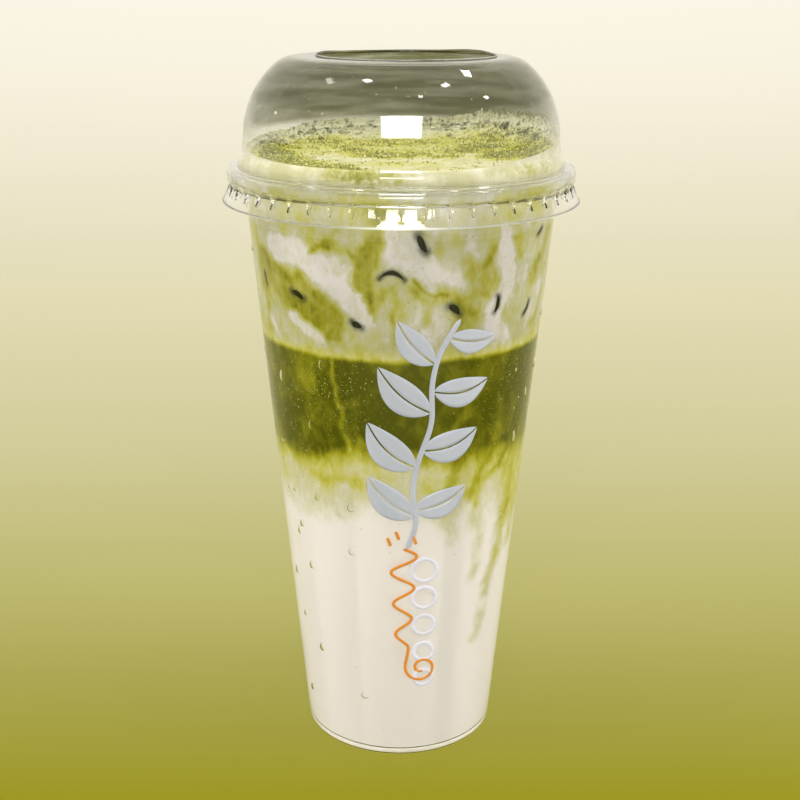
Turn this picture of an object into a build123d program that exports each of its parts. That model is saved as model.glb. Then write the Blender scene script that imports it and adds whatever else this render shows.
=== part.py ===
"""Iced matcha latte in a tall clear cup with a clear dome lid.

Millimetres, +Z up. The origin is the centre of the cup's foot, on the surface it stands on.
The cup, the lid and the layers of the drink are turned about Z. The lid's opening sits a little
off centre, its skirt has a ring of snap ribs, and the foam's top is a tilted dish.
"""

import os
from math import cos, pi, radians, sin, tan

from build123d import *

# Cup: a tapered tumbler with a curled rim, standing on a narrow foot ring.
CUP_HEIGHT = 171.2
CUP_FOOT_RADIUS = 28.3
CUP_TAPER_DEG = 5.33
CUP_WALL = 0.6
CUP_FLOOR = 0.8
FOOT_HEIGHT = 1.6
FOOT_WIDTH = 1.4
FOOT_ROUNDING = 0.4
RIM_CURL_RADIUS = 1.95
RIM_CURL_TURN_DEG = 250

# Lid: one formed sheet with an opening, a dome, a ring over the rim and a flared skirt.
LID_WALL = 0.45
LID_SEAT_GAP = 0.12
OPENING_RADIUS = 24.5
OPENING_OFFSET = 1.2
LIP_HEIGHT = 0.9
LIP_RUN = 0.9
FLAT_RADIUS = 32.0
TOP_ROUNDING = 8.0
DOME_HEIGHT = 29.4
SHOULDER_START = 7.9
DOME_FLARE = 0.4
STEP_WIDTH = 0.9
STEP_HEIGHT = 1.3
BAND_INSET = 0.35
BAND_HEIGHT = 2.6
CREST_RISE = 0.5
RING_CLEARANCE = 0.65
RING_ROUNDING = 1.2
RING_BELOW_CURL = 0.9
NECK_CLEARANCE = 0.25
NECK_DROP = 1.2
SKIRT_FLARE = 1.9
SKIRT_DROP = 4.7

# Snap ribs: pinches round the skirt that catch under the rim, each hollow from outside.
RIB_COUNT = 50
RIB_CATCH = 0.3
RIB_BELOW_NECK = 0.2
RIB_BELOW_CURL = 0.9
RIB_RUN = 1.8
RIB_WIDTH = 1.7
PINCH_WIDTH = 0.8

# Drink: each layer's depth, from the foam down; the milk fills the rest above the floor.
DRINK_GAP = 0.1
FOAM_BELOW_RIM = 13.2
MARBLED_DEPTH = 32.5
MATCHA_DEPTH = 37.5
FOAM_GAP = 0.25
FOAM_SHOULDER_DEG = 10
FOAM_RISE = 7.1
FOAM_TILT_DEG = 4.3
FOAM_TILT_TOWARDS_DEG = 67
DISH_MARGIN = 1.2
DISH_DEPTH = 3.2

# The cup's other places, worked out.
TAPER = tan(radians(CUP_TAPER_DEG))
FLOOR_TOP = FOOT_HEIGHT + CUP_FLOOR
CURL_LEVEL = CUP_HEIGHT - RIM_CURL_RADIUS
CURL_BOTTOM = CURL_LEVEL - RIM_CURL_RADIUS
CURL_CENTRE = CUP_FOOT_RADIUS + TAPER * CURL_LEVEL - CUP_WALL + RIM_CURL_RADIUS
CUP_RIM_RADIUS = CURL_CENTRE + RIM_CURL_RADIUS

# The lid's other places, worked out. Radii are of its outside.
VALLEY_LEVEL = CUP_HEIGHT + LID_SEAT_GAP + LID_WALL
CREST_LEVEL = VALLEY_LEVEL + CREST_RISE
BAND_TOP = VALLEY_LEVEL + BAND_HEIGHT
STEP_TOP = BAND_TOP + STEP_HEIGHT
SHOULDER_LEVEL = VALLEY_LEVEL + SHOULDER_START
TOP_LEVEL = VALLEY_LEVEL + DOME_HEIGHT
BAND_RADIUS = CURL_CENTRE - BAND_INSET
STEP_RADIUS = BAND_RADIUS - STEP_WIDTH
DOME_RADIUS = STEP_RADIUS - DOME_FLARE
DOME_RISE = TOP_LEVEL - SHOULDER_LEVEL
DOME_RUN = DOME_RADIUS - FLAT_RADIUS
SHOULDER_RADIUS = (DOME_RUN**2 + DOME_RISE**2) / (2 * DOME_RUN)
RING_RADIUS = CUP_RIM_RADIUS + RING_CLEARANCE + LID_WALL
RING_LEVEL = CURL_LEVEL - RING_BELOW_CURL
NECK_RADIUS = CUP_RIM_RADIUS + NECK_CLEARANCE + LID_WALL
NECK_LEVEL = RING_LEVEL - NECK_DROP
SKIRT_RADIUS = NECK_RADIUS + SKIRT_FLARE
SKIRT_LEVEL = NECK_LEVEL - SKIRT_DROP

# The drink's levels, the foam's at the middle of its tilted rim.
MARBLED_LEVEL = CUP_HEIGHT - FOAM_BELOW_RIM
MATCHA_LEVEL = MARBLED_LEVEL - MARBLED_DEPTH
MILK_LEVEL = MATCHA_LEVEL - MATCHA_DEPTH
FOAM_LEVEL = CUP_HEIGHT + FOAM_RISE


def outer_radius(level):
    """Radius of the cup's outside at a level."""
    return CUP_FOOT_RADIUS + TAPER * level


def inner_radius(level):
    """Radius of the cup's inside at a level."""
    return outer_radius(level) - CUP_WALL


def drink_radius(level):
    """Radius of the drink at a level inside the cup."""
    return inner_radius(level) - DRINK_GAP


def skirt_radius(level):
    """Radius of the outside of the lid's flared skirt at a level."""
    return NECK_RADIUS + SKIRT_FLARE * (NECK_LEVEL - level) / SKIRT_DROP


def drink_layer(bottom, top):
    """A layer of the drink that fills the cup between two levels."""
    with BuildPart() as layer:
        with BuildSketch(Plane.XZ):
            with BuildLine():
                Polyline(
                    (0, bottom),
                    (drink_radius(bottom), bottom),
                    (drink_radius(top), top),
                    (0, top),
                    close=True,
                )
            make_face()
        revolve(axis=Axis.Z)
    return layer.part


def skirt_pinch(inset, width):
    """A wedge across the skirt's wall at the first rib, set outwards from the rib's faces by inset."""
    top = NECK_LEVEL - RIB_BELOW_NECK - inset / 2
    tip = CURL_BOTTOM - RIB_BELOW_CURL
    foot = tip - RIB_RUN + inset / 2
    mid_wall = LID_WALL / 2 - inset
    turn = 360 * width / (2 * pi * NECK_RADIUS)
    with BuildPart() as wedge:
        with BuildSketch(Plane.XZ.rotated((0, 0, -turn / 2))):
            with BuildLine():
                Polyline(
                    (skirt_radius(top) - mid_wall, top),
                    (CUP_RIM_RADIUS - RIB_CATCH + inset, tip),
                    (skirt_radius(foot) - mid_wall, foot),
                    close=True,
                )
            make_face()
        revolve(axis=Axis.Z, revolution_arc=turn)
    return wedge.part


os.makedirs("parts", exist_ok=True)

# The cup: wall, floor and foot ring in one section, with the rim curled outwards and down.
with BuildPart() as cup:
    with BuildSketch(Plane.XZ):
        with BuildLine():
            Polyline(
                (0, FOOT_HEIGHT),
                (CUP_FOOT_RADIUS - FOOT_WIDTH, FOOT_HEIGHT),
                (CUP_FOOT_RADIUS - FOOT_WIDTH, 0),
                (CUP_FOOT_RADIUS, 0),
                (outer_radius(CURL_LEVEL), CURL_LEVEL),
                (inner_radius(CURL_LEVEL), CURL_LEVEL),
                (inner_radius(FLOOR_TOP), FLOOR_TOP),
                (0, FLOOR_TOP),
                close=True,
            )
        make_face()
        with BuildLine():
            curl_middle = RIM_CURL_RADIUS - CUP_WALL / 2
            CenterArc((CURL_CENTRE, CURL_LEVEL), curl_middle, 180, -RIM_CURL_TURN_DEG)
        trace(line_width=CUP_WALL)
    revolve(axis=Axis.Z)
    fillet(cup.edges().group_by(Axis.Z)[0], FOOT_ROUNDING)
cup.part.label = "cup"

# A rib for the inside of the skirt, and the pinch that hollows it from outside.
rib = skirt_pinch(0, RIB_WIDTH)
pinch = skirt_pinch(LID_WALL, PINCH_WIDTH)

# The lid: the outer line from the middle of its flat top down to the skirt's edge, thickened inwards.
with BuildPart() as lid:
    with BuildSketch(Plane.XZ):
        with BuildLine() as lid_line:
            Line((0, TOP_LEVEL), (FLAT_RADIUS, TOP_LEVEL))
            TangentArc((DOME_RADIUS, SHOULDER_LEVEL), (FLAT_RADIUS, TOP_LEVEL), tangent=(0, 1))
            flat_corner = lid_line.vertices().sort_by_distance((FLAT_RADIUS, TOP_LEVEL))[0]
            fillet(flat_corner, TOP_ROUNDING)
            Polyline(
                (DOME_RADIUS, SHOULDER_LEVEL),
                (STEP_RADIUS, STEP_TOP),
                (BAND_RADIUS, BAND_TOP),
                (BAND_RADIUS, VALLEY_LEVEL),
                (BAND_RADIUS + CREST_RISE, CREST_LEVEL),
                (RING_RADIUS - RING_ROUNDING, CREST_LEVEL),
                (RING_RADIUS, CREST_LEVEL - RING_ROUNDING),
                (RING_RADIUS, RING_LEVEL),
                (NECK_RADIUS, NECK_LEVEL),
                (SKIRT_RADIUS, SKIRT_LEVEL),
            )
            offset(amount=LID_WALL, side=Side.RIGHT)
        make_face()
    revolve(axis=Axis.Z)
    # The opening, and its lip turned up round the edge.
    with Locations((OPENING_OFFSET, 0, TOP_LEVEL)):
        Cylinder(OPENING_RADIUS + LIP_RUN, 4 * LID_WALL, mode=Mode.SUBTRACT)
    with BuildSketch(Plane.XZ):
        with BuildLine():
            lip_foot = OPENING_OFFSET + OPENING_RADIUS + LIP_RUN
            lip_edge = OPENING_OFFSET + OPENING_RADIUS
            Polyline(
                (lip_foot, TOP_LEVEL),
                (lip_edge, TOP_LEVEL + LIP_HEIGHT),
                (lip_edge, TOP_LEVEL + LIP_HEIGHT - LID_WALL),
                (lip_foot, TOP_LEVEL - LID_WALL),
                close=True,
            )
        make_face()
    revolve(axis=Axis((OPENING_OFFSET, 0, 0), (0, 0, 1)))
    # The ribs stand inside the skirt, and each is pinched in from outside.
    with PolarLocations(0, RIB_COUNT):
        add(rib)
    with PolarLocations(0, RIB_COUNT):
        add(pinch, mode=Mode.SUBTRACT)
lid.part.label = "lid"

# The drink's three layers inside the cup.
milk = drink_layer(FLOOR_TOP, MILK_LEVEL)
milk.label = "milk"
matcha = drink_layer(MILK_LEVEL, MATCHA_LEVEL)
matcha.label = "matcha"
marbled = drink_layer(MATCHA_LEVEL, MARBLED_LEVEL)
marbled.label = "marbled"

# The foam cap: up the cup's mouth into the dome, cut by a tilted plane and hollowed by a shallow dish.
foam_arc_radius = SHOULDER_RADIUS - LID_WALL - FOAM_GAP
foam_top_radius = DOME_RADIUS - SHOULDER_RADIUS + foam_arc_radius * cos(radians(FOAM_SHOULDER_DEG))
foam_top = SHOULDER_LEVEL + foam_arc_radius * sin(radians(FOAM_SHOULDER_DEG))
foam_slope = Plane.XY.offset(FOAM_LEVEL).rotated((0, -FOAM_TILT_DEG, 0))
foam_plane = foam_slope.rotated((0, 0, FOAM_TILT_TOWARDS_DEG))
dish_radius = foam_top_radius - DISH_MARGIN
dish_sphere = (dish_radius**2 + DISH_DEPTH**2) / (2 * DISH_DEPTH)
with BuildPart() as foam:
    with BuildSketch(Plane.XZ):
        with BuildLine():
            Polyline(
                (0, MARBLED_LEVEL),
                (drink_radius(MARBLED_LEVEL), MARBLED_LEVEL),
                (drink_radius(CURL_LEVEL), CURL_LEVEL),
                (foam_top_radius, foam_top),
                (0, foam_top),
                close=True,
            )
        make_face()
    revolve(axis=Axis.Z)
    split(bisect_by=foam_plane, keep=Keep.BOTTOM)
    with Locations(foam_plane.offset(dish_sphere - DISH_DEPTH)):
        Sphere(dish_sphere, mode=Mode.SUBTRACT)
foam.part.label = "foam"

export_step(cup.part, "parts/cup.step")
export_step(lid.part, "parts/lid.step")
export_step(milk, "parts/milk.step")
export_step(matcha, "parts/matcha.step")
export_step(marbled, "parts/marbled.step")
export_step(foam.part, "parts/foam.step")
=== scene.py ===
"""Iced matcha latte in a clear cup with a clear dome lid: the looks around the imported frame.

Metres, +Z up, in the frame's own place. Each piece is made by an operator, which takes its sizes
and colours from the property groups and its places from the frame. Angles round the cup count
from its front, the side that faces the camera, and grow towards the right.
"""

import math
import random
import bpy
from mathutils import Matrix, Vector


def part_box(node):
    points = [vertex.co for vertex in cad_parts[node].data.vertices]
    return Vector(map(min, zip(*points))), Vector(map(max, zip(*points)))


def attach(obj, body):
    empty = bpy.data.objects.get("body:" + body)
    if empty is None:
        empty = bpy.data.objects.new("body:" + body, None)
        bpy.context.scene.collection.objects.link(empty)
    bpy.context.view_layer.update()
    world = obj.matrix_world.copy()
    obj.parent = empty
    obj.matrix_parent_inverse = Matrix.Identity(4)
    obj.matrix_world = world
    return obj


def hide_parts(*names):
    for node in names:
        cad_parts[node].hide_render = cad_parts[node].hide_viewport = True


bl_info = {
    "name": "Matcha latte in a clear cup",
    "version": (1, 0, 0),
    "blender": (4, 5, 0),
    "location": "3D View > Sidebar > Matcha latte",
    "description": "Builds the cup, lid, layered drink, foam, droplets and print of an iced matcha latte",
    "category": "Add Mesh",
}

import bpy
import numpy as np
from bpy.props import FloatProperty, FloatVectorProperty, IntProperty, PointerProperty
from mathutils import Vector

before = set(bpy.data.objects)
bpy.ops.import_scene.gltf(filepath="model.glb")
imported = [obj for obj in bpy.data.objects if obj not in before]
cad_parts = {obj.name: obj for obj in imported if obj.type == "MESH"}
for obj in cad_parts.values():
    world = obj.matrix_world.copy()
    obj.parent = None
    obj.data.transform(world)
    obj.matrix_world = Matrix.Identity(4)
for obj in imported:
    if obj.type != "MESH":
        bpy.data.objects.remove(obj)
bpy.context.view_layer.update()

MM = 0.001
BODY = "root"

# Levels and radii of the construction, read from the frame.
CUP_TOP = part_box("cup")[1][2]
RIM_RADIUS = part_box("cup")[1][0]
SKIRT_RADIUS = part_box("lid")[1][1]
MILK_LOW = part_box("milk")[0][2]
MILK_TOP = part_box("milk")[1][2]
MATCHA_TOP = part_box("matcha")[1][2]
MARBLED_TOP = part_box("marbled")[1][2]
DRINK_TAPER = (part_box("matcha")[1][0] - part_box("milk")[1][0]) / (MATCHA_TOP - MILK_TOP)
DRINK_GAP = 0.1 * MM
MILK_TOP_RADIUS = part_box("milk")[1][0] + DRINK_GAP

# Sizes of the lid that more than one piece needs.
FLAT_RADIUS = 32 * MM
LIP_HEIGHT = 0.9 * MM

# How far the drink reaches into the cup's wall and the foam into the lid's.
WALL_REACH = 0.15 * MM
LID_REACH = 0.12 * MM


def inner_radius(level):
    """Radius of the cup's inside at a level."""
    return MILK_TOP_RADIUS + DRINK_TAPER * (level - MILK_TOP)


# ---------------------------------------------------------------- settings


class CupSettings(bpy.types.PropertyGroup):
    """Sizes and plastic of the cup and its lid, and the dark reflection painted on the dome."""

    wall: FloatProperty(
        name="Cup wall", description="Thickness of the cup's wall", default=0.6 * MM, unit="LENGTH"
    )
    lid_wall: FloatProperty(
        name="Lid wall", description="Thickness of the lid's sheet", default=0.45 * MM, unit="LENGTH"
    )
    curl: FloatProperty(
        name="Rim curl", description="Radius of the rim's curl", default=1.95 * MM, unit="LENGTH"
    )
    foot_height: FloatProperty(
        name="Foot height", description="Height of the foot ring", default=1.6 * MM, unit="LENGTH"
    )
    foot_width: FloatProperty(
        name="Foot width", description="Width of the foot ring", default=1.4 * MM, unit="LENGTH"
    )
    opening: FloatProperty(
        name="Opening", description="Radius of the lid's opening", default=24.5 * MM, unit="LENGTH"
    )
    opening_shift: FloatProperty(
        name="Opening shift",
        description="How far the opening lies off the lid's middle",
        default=1.2 * MM,
        unit="LENGTH",
    )
    ribs: IntProperty(name="Snap ribs", description="Pinches round the skirt", default=50, min=8)
    pinch: FloatProperty(
        name="Pinch depth", description="How deep each snap rib is pinched", default=1.1 * MM, unit="LENGTH"
    )
    tint: FloatVectorProperty(
        name="Cup plastic", description="Colour of the cup's plastic", default=(0.97, 0.975, 0.965),
        size=3, min=0.0, max=1.0, subtype="COLOR",
    )
    # Painted reflection: a dark tint on the clear dome stands in for the darker room seen in it.
    dome_reflection_tint: FloatVectorProperty(
        name="Dome painted reflection", description="Colour of the dark reflection painted on the dome's top", default=(0.190, 0.197, 0.095),
        size=3, min=0.0, max=1.0, subtype="COLOR",
    )


class DrinkSettings(bpy.types.PropertyGroup):
    """Colours of the drink's layers and how they run into each other."""

    milk: FloatVectorProperty(
        name="Milk", description="Colour of plain milk", default=(0.775, 0.735, 0.708),
        size=3, min=0.0, max=1.0, subtype="COLOR",
    )
    cream: FloatVectorProperty(
        name="Cream", description="Colour of milk with a trace of tea", default=(0.59, 0.57, 0.385),
        size=3, min=0.0, max=1.0, subtype="COLOR",
    )
    pale: FloatVectorProperty(
        name="Pale tea", description="Colour of milk with a little tea", default=(0.52, 0.49, 0.115),
        size=3, min=0.0, max=1.0, subtype="COLOR",
    )
    olive: FloatVectorProperty(
        name="Olive tea", description="Colour of a strong swirl", default=(0.36, 0.34, 0.020),
        size=3, min=0.0, max=1.0, subtype="COLOR",
    )
    tea: FloatVectorProperty(
        name="Tea", description="Colour of the green tea layer", default=(0.084, 0.089, 0.004),
        size=3, min=0.0, max=1.0, subtype="COLOR",
    )
    back_swirls: IntProperty(
        name="Back swirls", description="Swirls scattered round the sides and back", default=26, min=0
    )
    bubbles: IntProperty(
        name="Wall bubbles", description="Tiny bubbles in the smallest cluster at the wall", default=45, min=0
    )
    # Painted shade: near-black spots round the sides and back.
    flecks: IntProperty(
        name="Back shade spots", description="Dark spots of painted shade scattered round the sides and back", default=9, min=0
    )


class FoamSettings(bpy.types.PropertyGroup):
    """The foam cap, its powder and its bubbles."""

    cream: FloatVectorProperty(
        name="Foam", description="Colour of plain foam", default=(0.50, 0.47, 0.15),
        size=3, min=0.0, max=1.0, subtype="COLOR",
    )
    powder: FloatVectorProperty(
        name="Powder", description="Colour of the tea powder", default=(0.205, 0.212, 0.002),
        size=3, min=0.0, max=1.0, subtype="COLOR",
    )
    grains: IntProperty(name="Grains", description="Loose grains of powder", default=11000, min=0)
    bubbles: IntProperty(name="Bubbles", description="Bubbles on the foam", default=420, min=0)
    splashes: IntProperty(name="Splashes", description="Specks of foam inside the dome", default=90, min=0)


class DropletSettings(bpy.types.PropertyGroup):
    """Water that has settled on the outside of the cup."""

    large: IntProperty(name="Large drops", description="Scattered large drops", default=46, min=0)
    small: IntProperty(name="Small drops", description="Scattered small drops", default=900, min=0)


class PrintSettings(bpy.types.PropertyGroup):
    """The generic sprig, rings and tendril printed up the front of the cup."""

    white: FloatVectorProperty(
        name="White ink", description="Colour of the sprig", default=(0.42, 0.435, 0.46),
        size=3, min=0.0, max=1.0, subtype="COLOR",
    )
    pale: FloatVectorProperty(
        name="Pale ink", description="Colour of the rings", default=(0.68, 0.655, 0.69),
        size=3, min=0.0, max=1.0, subtype="COLOR",
    )
    orange: FloatVectorProperty(
        name="Orange ink", description="Colour of the tendril", default=(0.66, 0.225, 0.002),
        size=3, min=0.0, max=1.0, subtype="COLOR",
    )
    thickness: FloatProperty(
        name="Ink thickness", description="How far the ink stands proud", default=0.05 * MM, unit="LENGTH"
    )


class StageSettings(bpy.types.PropertyGroup):
    """Floor, backdrop, room and camera."""

    floor: FloatVectorProperty(
        name="Bounce", description="Colour that the floor and backdrop throw on the object",
        default=(0.80, 0.80, 0.77), size=3, min=0.0, max=1.0, subtype="COLOR",
    )
    near: FloatVectorProperty(
        name="Near floor", description="Colour of the floor in front", default=(0.285, 0.26, 0.016),
        size=3, min=0.0, max=1.0, subtype="COLOR",
    )
    middle: FloatVectorProperty(
        name="Middle floor", description="Colour of the floor behind the cup", default=(0.645, 0.60, 0.362),
        size=3, min=0.0, max=1.0, subtype="COLOR",
    )
    far: FloatVectorProperty(
        name="Backdrop", description="Colour of the backdrop", default=(1.0, 0.95, 0.825),
        size=3, min=0.0, max=1.0, subtype="COLOR",
    )
    room: FloatVectorProperty(
        name="Room", description="Colour of the light that the room throws on the object",
        default=(0.20, 0.20, 0.20), size=3, min=0.0, max=1.0, subtype="COLOR",
    )
    room_seen: FloatVectorProperty(
        name="Seen room", description="Colour of the room as it shows in and through the plastic",
        default=(0.80, 0.76, 0.66), size=3, min=0.0, max=1.0, subtype="COLOR",
    )
    glow: FloatProperty(
        name="Glow", description="Share of the card's colour that no shadow dims", default=0.78,
        min=0.0, max=1.0, subtype="FACTOR",
    )
    lens: FloatProperty(name="Lens", description="Focal length in millimetres", default=58.5)
    distance: FloatProperty(
        name="Distance", description="From the cup's axis to the camera", default=366.2 * MM, unit="LENGTH"
    )
    height: FloatProperty(
        name="Height", description="Camera height above the table", default=221.5 * MM, unit="LENGTH"
    )
    aside: FloatProperty(
        name="Aside", description="How far the camera stands to the right", default=-0.6 * MM, unit="LENGTH"
    )
    pitch: FloatProperty(
        name="Pitch", description="How far the camera looks down", default=math.radians(18.02),
        subtype="ANGLE",
    )
    roll: FloatProperty(
        name="Roll", description="How far the camera leans", default=math.radians(-0.25), subtype="ANGLE"
    )


# ---------------------------------------------------------------- helpers for shapes


def smoothstep(low, high, value):
    """0 below low, 1 above high, smooth between."""
    share = np.clip((value - low) / (high - low), 0.0, 1.0)
    return share * share * (3 - 2 * share)


# The seeded lattice of values that the soft noise is drawn from.
LATTICE = 24
LATTICE_VALUES = np.random.default_rng(11).random((LATTICE, LATTICE, LATTICE))


def cloud(points, size, octaves=3):
    """Soft seeded noise from 0 to 1 at each point, whose largest lumps are about size across."""
    total, weight, scale = 0.0, 0.0, 1.0 / size
    for octave in range(octaves):
        place = points * scale + 7.3 * (octave + 1)
        cell = np.floor(place).astype(int)
        share = place - cell
        share = share * share * (3 - 2 * share)
        value = 0.0
        for corner in range(8):
            step = np.array([corner & 1, corner >> 1 & 1, corner >> 2 & 1])
            weights = np.prod(np.where(step, share, 1 - share), axis=-1)
            index = (cell + step) % LATTICE
            value = value + weights * LATTICE_VALUES[index[..., 0], index[..., 1], index[..., 2]]
        total = total + value * 0.5**octave
        weight += 0.5**octave
        scale *= 2.0
    return total / weight


def mesh_object(name, vertices, faces, material=None, smooth=True):
    """A new mesh object in the scene from an array of points and a list of faces."""
    mesh = bpy.data.meshes.new(name)
    mesh.from_pydata([tuple(v) for v in vertices], [], [tuple(f) for f in faces])
    mesh.validate()
    mesh.update()
    if smooth:
        mesh.shade_smooth()
        mesh.set_sharp_from_angle(angle=math.radians(42))
    piece = bpy.data.objects.new(name, mesh)
    bpy.context.scene.collection.objects.link(piece)
    if material:
        mesh.materials.append(material)
    return piece


def add_values(piece, name, values):
    """Stores one number a vertex under a name that the materials read."""
    attribute = piece.data.attributes.new(name, "FLOAT", "POINT")
    attribute.data.foreach_set("value", np.asarray(values, dtype=np.float32))


def lathe(radii, levels, segments, closed=False):
    """Points and faces of an outline turned about Z. A closed outline ends where it began;
    an open one starts and ends on the axis."""
    radii, levels = np.asarray(radii), np.asarray(levels)
    turns = np.arange(segments) * 2 * math.pi / segments
    if closed:
        ring_radii, ring_levels = radii, levels
    else:
        ring_radii, ring_levels = radii[1:-1], levels[1:-1]
    rings = len(ring_radii)
    points = np.empty((rings, segments, 3))
    points[..., 0] = ring_radii[:, None] * np.sin(turns)
    points[..., 1] = -ring_radii[:, None] * np.cos(turns)
    points[..., 2] = ring_levels[:, None]
    points = points.reshape(-1, 3)
    faces = []
    for ring in range(rings if closed else rings - 1):
        here, there = ring * segments, (ring + 1) % rings * segments
        for turn in range(segments):
            after = (turn + 1) % segments
            faces.append((here + turn, here + after, there + after, there + turn))
    if not closed:
        first, last = len(points), len(points) + 1
        top = (rings - 1) * segments
        points = np.vstack([points, [(0, 0, levels[0])], [(0, 0, levels[-1])]])
        for turn in range(segments):
            after = (turn + 1) % segments
            faces.append((first, after, turn))
            faces.append((last, top + turn, top + after))
    return points, faces


def arc(centre_r, centre_z, radius, start, end, steps):
    """Points (r, z) of an arc; angles in degrees from outwards, growing upwards."""
    turns = np.radians(np.linspace(start, end, steps))
    return [(centre_r + radius * math.cos(t), centre_z + radius * math.sin(t)) for t in turns]


def rounded(outline, radius, steps=4):
    """An outline (r, z) whose inner corners are rounded off by up to the given radius."""
    result = [outline[0]]
    for before, here, after in zip(outline, outline[1:], outline[2:]):
        here, back, forth = Vector(here), Vector(before) - Vector(here), Vector(after) - Vector(here)
        reach = min(radius, back.length * 0.45, forth.length * 0.45)
        start, end = here + back.normalized() * reach, here + forth.normalized() * reach
        for step in range(steps + 1):
            share = step / steps
            point = start * (1 - share) ** 2 + here * 2 * share * (1 - share) + end * share**2
            result.append(tuple(point))
    return result + [outline[-1]]


def sheet_outline(outline, wall):
    """A closed outline: the given line from top to bottom, then back up at the wall's distance inside."""
    line = np.array(outline)
    along = np.gradient(line, axis=0)
    along /= np.linalg.norm(along, axis=1)[:, None]
    inwards = np.stack([along[:, 1], -along[:, 0]], axis=1)
    ends = []
    for place, way, side in ((line[-1], along[-1], inwards[-1]), (line[0], -along[0], inwards[0])):
        turns = np.radians((-125, -80, -35, 0, 35, 80, 125))[:, None]
        bead = wall * 0.72
        ends.append(place + side * (wall / 2 + bead * np.sin(turns)) + way * bead * (np.cos(turns) - 1))
    return np.vstack([line, ends[0], (line + inwards * wall)[::-1], ends[1][::-1]])


def round_the_cup(points):
    """The angle from the front, in degrees, of each point."""
    return np.degrees(np.arctan2(points[:, 0], -points[:, 1]))


def on_the_cup(angle, level, proud=0.0):
    """A point on the cup's outside at an angle in degrees from the front."""
    radius = inner_radius(level) + bpy.context.scene.latte_cup.wall + proud
    turn = math.radians(angle)
    return Vector((radius * math.sin(turn), -radius * math.cos(turn), level))


def unit_ball(rings):
    """Points and faces of a small round ball of radius 1, with more rings for a finer one."""
    turns = np.linspace(-90, 90, rings * 2 + 1)
    radii = [0] + [math.cos(math.radians(t)) for t in turns[1:-1]] + [0]
    levels = [math.sin(math.radians(t)) for t in turns]
    return lathe(radii, levels, rings * 3)


def joined_balls(name, ball, ball_faces, places, material):
    """Many small balls as one mesh, each at (x, y, z) with its own radius."""
    points = np.vstack([ball * size + np.array((x, y, z)) for x, y, z, size in places])
    count = len(ball)
    faces = [tuple(number * count + i for i in face) for number in range(len(places)) for face in ball_faces]
    return mesh_object(name, points, faces, material)


# ---------------------------------------------------------------- helpers for materials


def new_material(name):
    """An empty node material and its Principled shader, joined to the output."""
    material = bpy.data.materials.new(name)
    material.use_nodes = True
    nodes = material.node_tree.nodes
    nodes.clear()
    output = nodes.new("ShaderNodeOutputMaterial")
    shader = nodes.new("ShaderNodeBsdfPrincipled")
    material.node_tree.links.new(shader.outputs["BSDF"], output.inputs["Surface"])
    return material, shader


def add_node(tree, kind, inputs=None, **settings):
    """A node with its settings and its inputs: a value is set, a socket is linked."""
    node = tree.nodes.new("ShaderNode" + kind)
    for name, value in settings.items():
        setattr(node, name, value)
    for name, value in (inputs or {}).items():
        if isinstance(value, bpy.types.NodeSocket):
            tree.links.new(value, node.inputs[name])
        else:
            node.inputs[name].default_value = value
    return node


def ramp(tree, factor, stops):
    """The colour output of a colour ramp with the given (place, colour) stops."""
    node = add_node(tree, "ValToRGB", {"Fac": factor})
    elements = node.color_ramp.elements
    while len(elements) < len(stops):
        elements.new(0.5)
    for element, (place, colour) in zip(elements, stops):
        element.position = place
        element.color = (*colour, 1.0)
    return node.outputs["Color"]


def mask(tree, value, low, high):
    """A value stretched so that low becomes 0 and high becomes 1."""
    node = add_node(tree, "MapRange", {"Value": value, "From Min": low, "From Max": high})
    return node.outputs["Result"]


def math_node(tree, operation, first, second=0.0):
    """The result of a Math node."""
    node = add_node(tree, "Math", {0: first, 1: second}, operation=operation)
    return node.outputs["Value"]


def mix_colour(tree, factor, first, second):
    """The mix of two colours, each a socket or a plain colour."""
    node = add_node(tree, "Mix", data_type="RGBA")
    sockets = {0: factor, 6: first, 7: second}
    for index, value in sockets.items():
        if isinstance(value, bpy.types.NodeSocket):
            tree.links.new(value, node.inputs[index])
        elif index == 0:
            node.inputs[index].default_value = value
        else:
            node.inputs[index].default_value = (*value, 1.0)
    return node.outputs[2]


def stored(tree, name):
    """The number stored under a name on the mesh."""
    return add_node(tree, "Attribute", attribute_name=name).outputs["Fac"]


def start_group(name, inputs, outputs):
    """A new shader node group with named number inputs and outputs, and its two ends."""
    group = bpy.data.node_groups.new(name, "ShaderNodeTree")
    for label, value in inputs.items():
        socket = group.interface.new_socket(label, in_out="INPUT", socket_type="NodeSocketFloat")
        socket.default_value = value
    for label in outputs:
        group.interface.new_socket(label, in_out="OUTPUT", socket_type="NodeSocketFloat")
    start = group.nodes.new("NodeGroupInput")
    end = group.nodes.new("NodeGroupOutput")
    return group, start.outputs, end.inputs


def specks_group():
    """Fine round specks: a mask that is 1 inside each speck, and their random shade."""
    name = "Fine specks"
    if name in bpy.data.node_groups:
        return bpy.data.node_groups[name]
    group, given, result = start_group(
        name, {"Spacing": 1.0 * MM, "Share": 0.4, "Size": 0.3, "Softness": 0.1}, ("Mask", "Shade")
    )
    place = add_node(group, "TexCoord").outputs["Object"]
    scale = math_node(group, "DIVIDE", 1.0, given["Spacing"])
    cells = add_node(group, "TexVoronoi", {"Vector": place, "Scale": scale, "Randomness": 1.0})
    edge = math_node(group, "ADD", given["Size"], given["Softness"])
    near = add_node(
        group, "MapRange",
        {"Value": cells.outputs["Distance"], "From Min": edge, "From Max": given["Size"]},
    )
    picks = add_node(group, "SeparateColor", {"Color": cells.outputs["Color"]})
    chosen = math_node(group, "LESS_THAN", picks.outputs["Red"], given["Share"])
    both = math_node(group, "MULTIPLY", near.outputs["Result"], chosen)
    group.links.new(both, result["Mask"])
    group.links.new(picks.outputs["Green"], result["Shade"])
    return group


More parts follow.
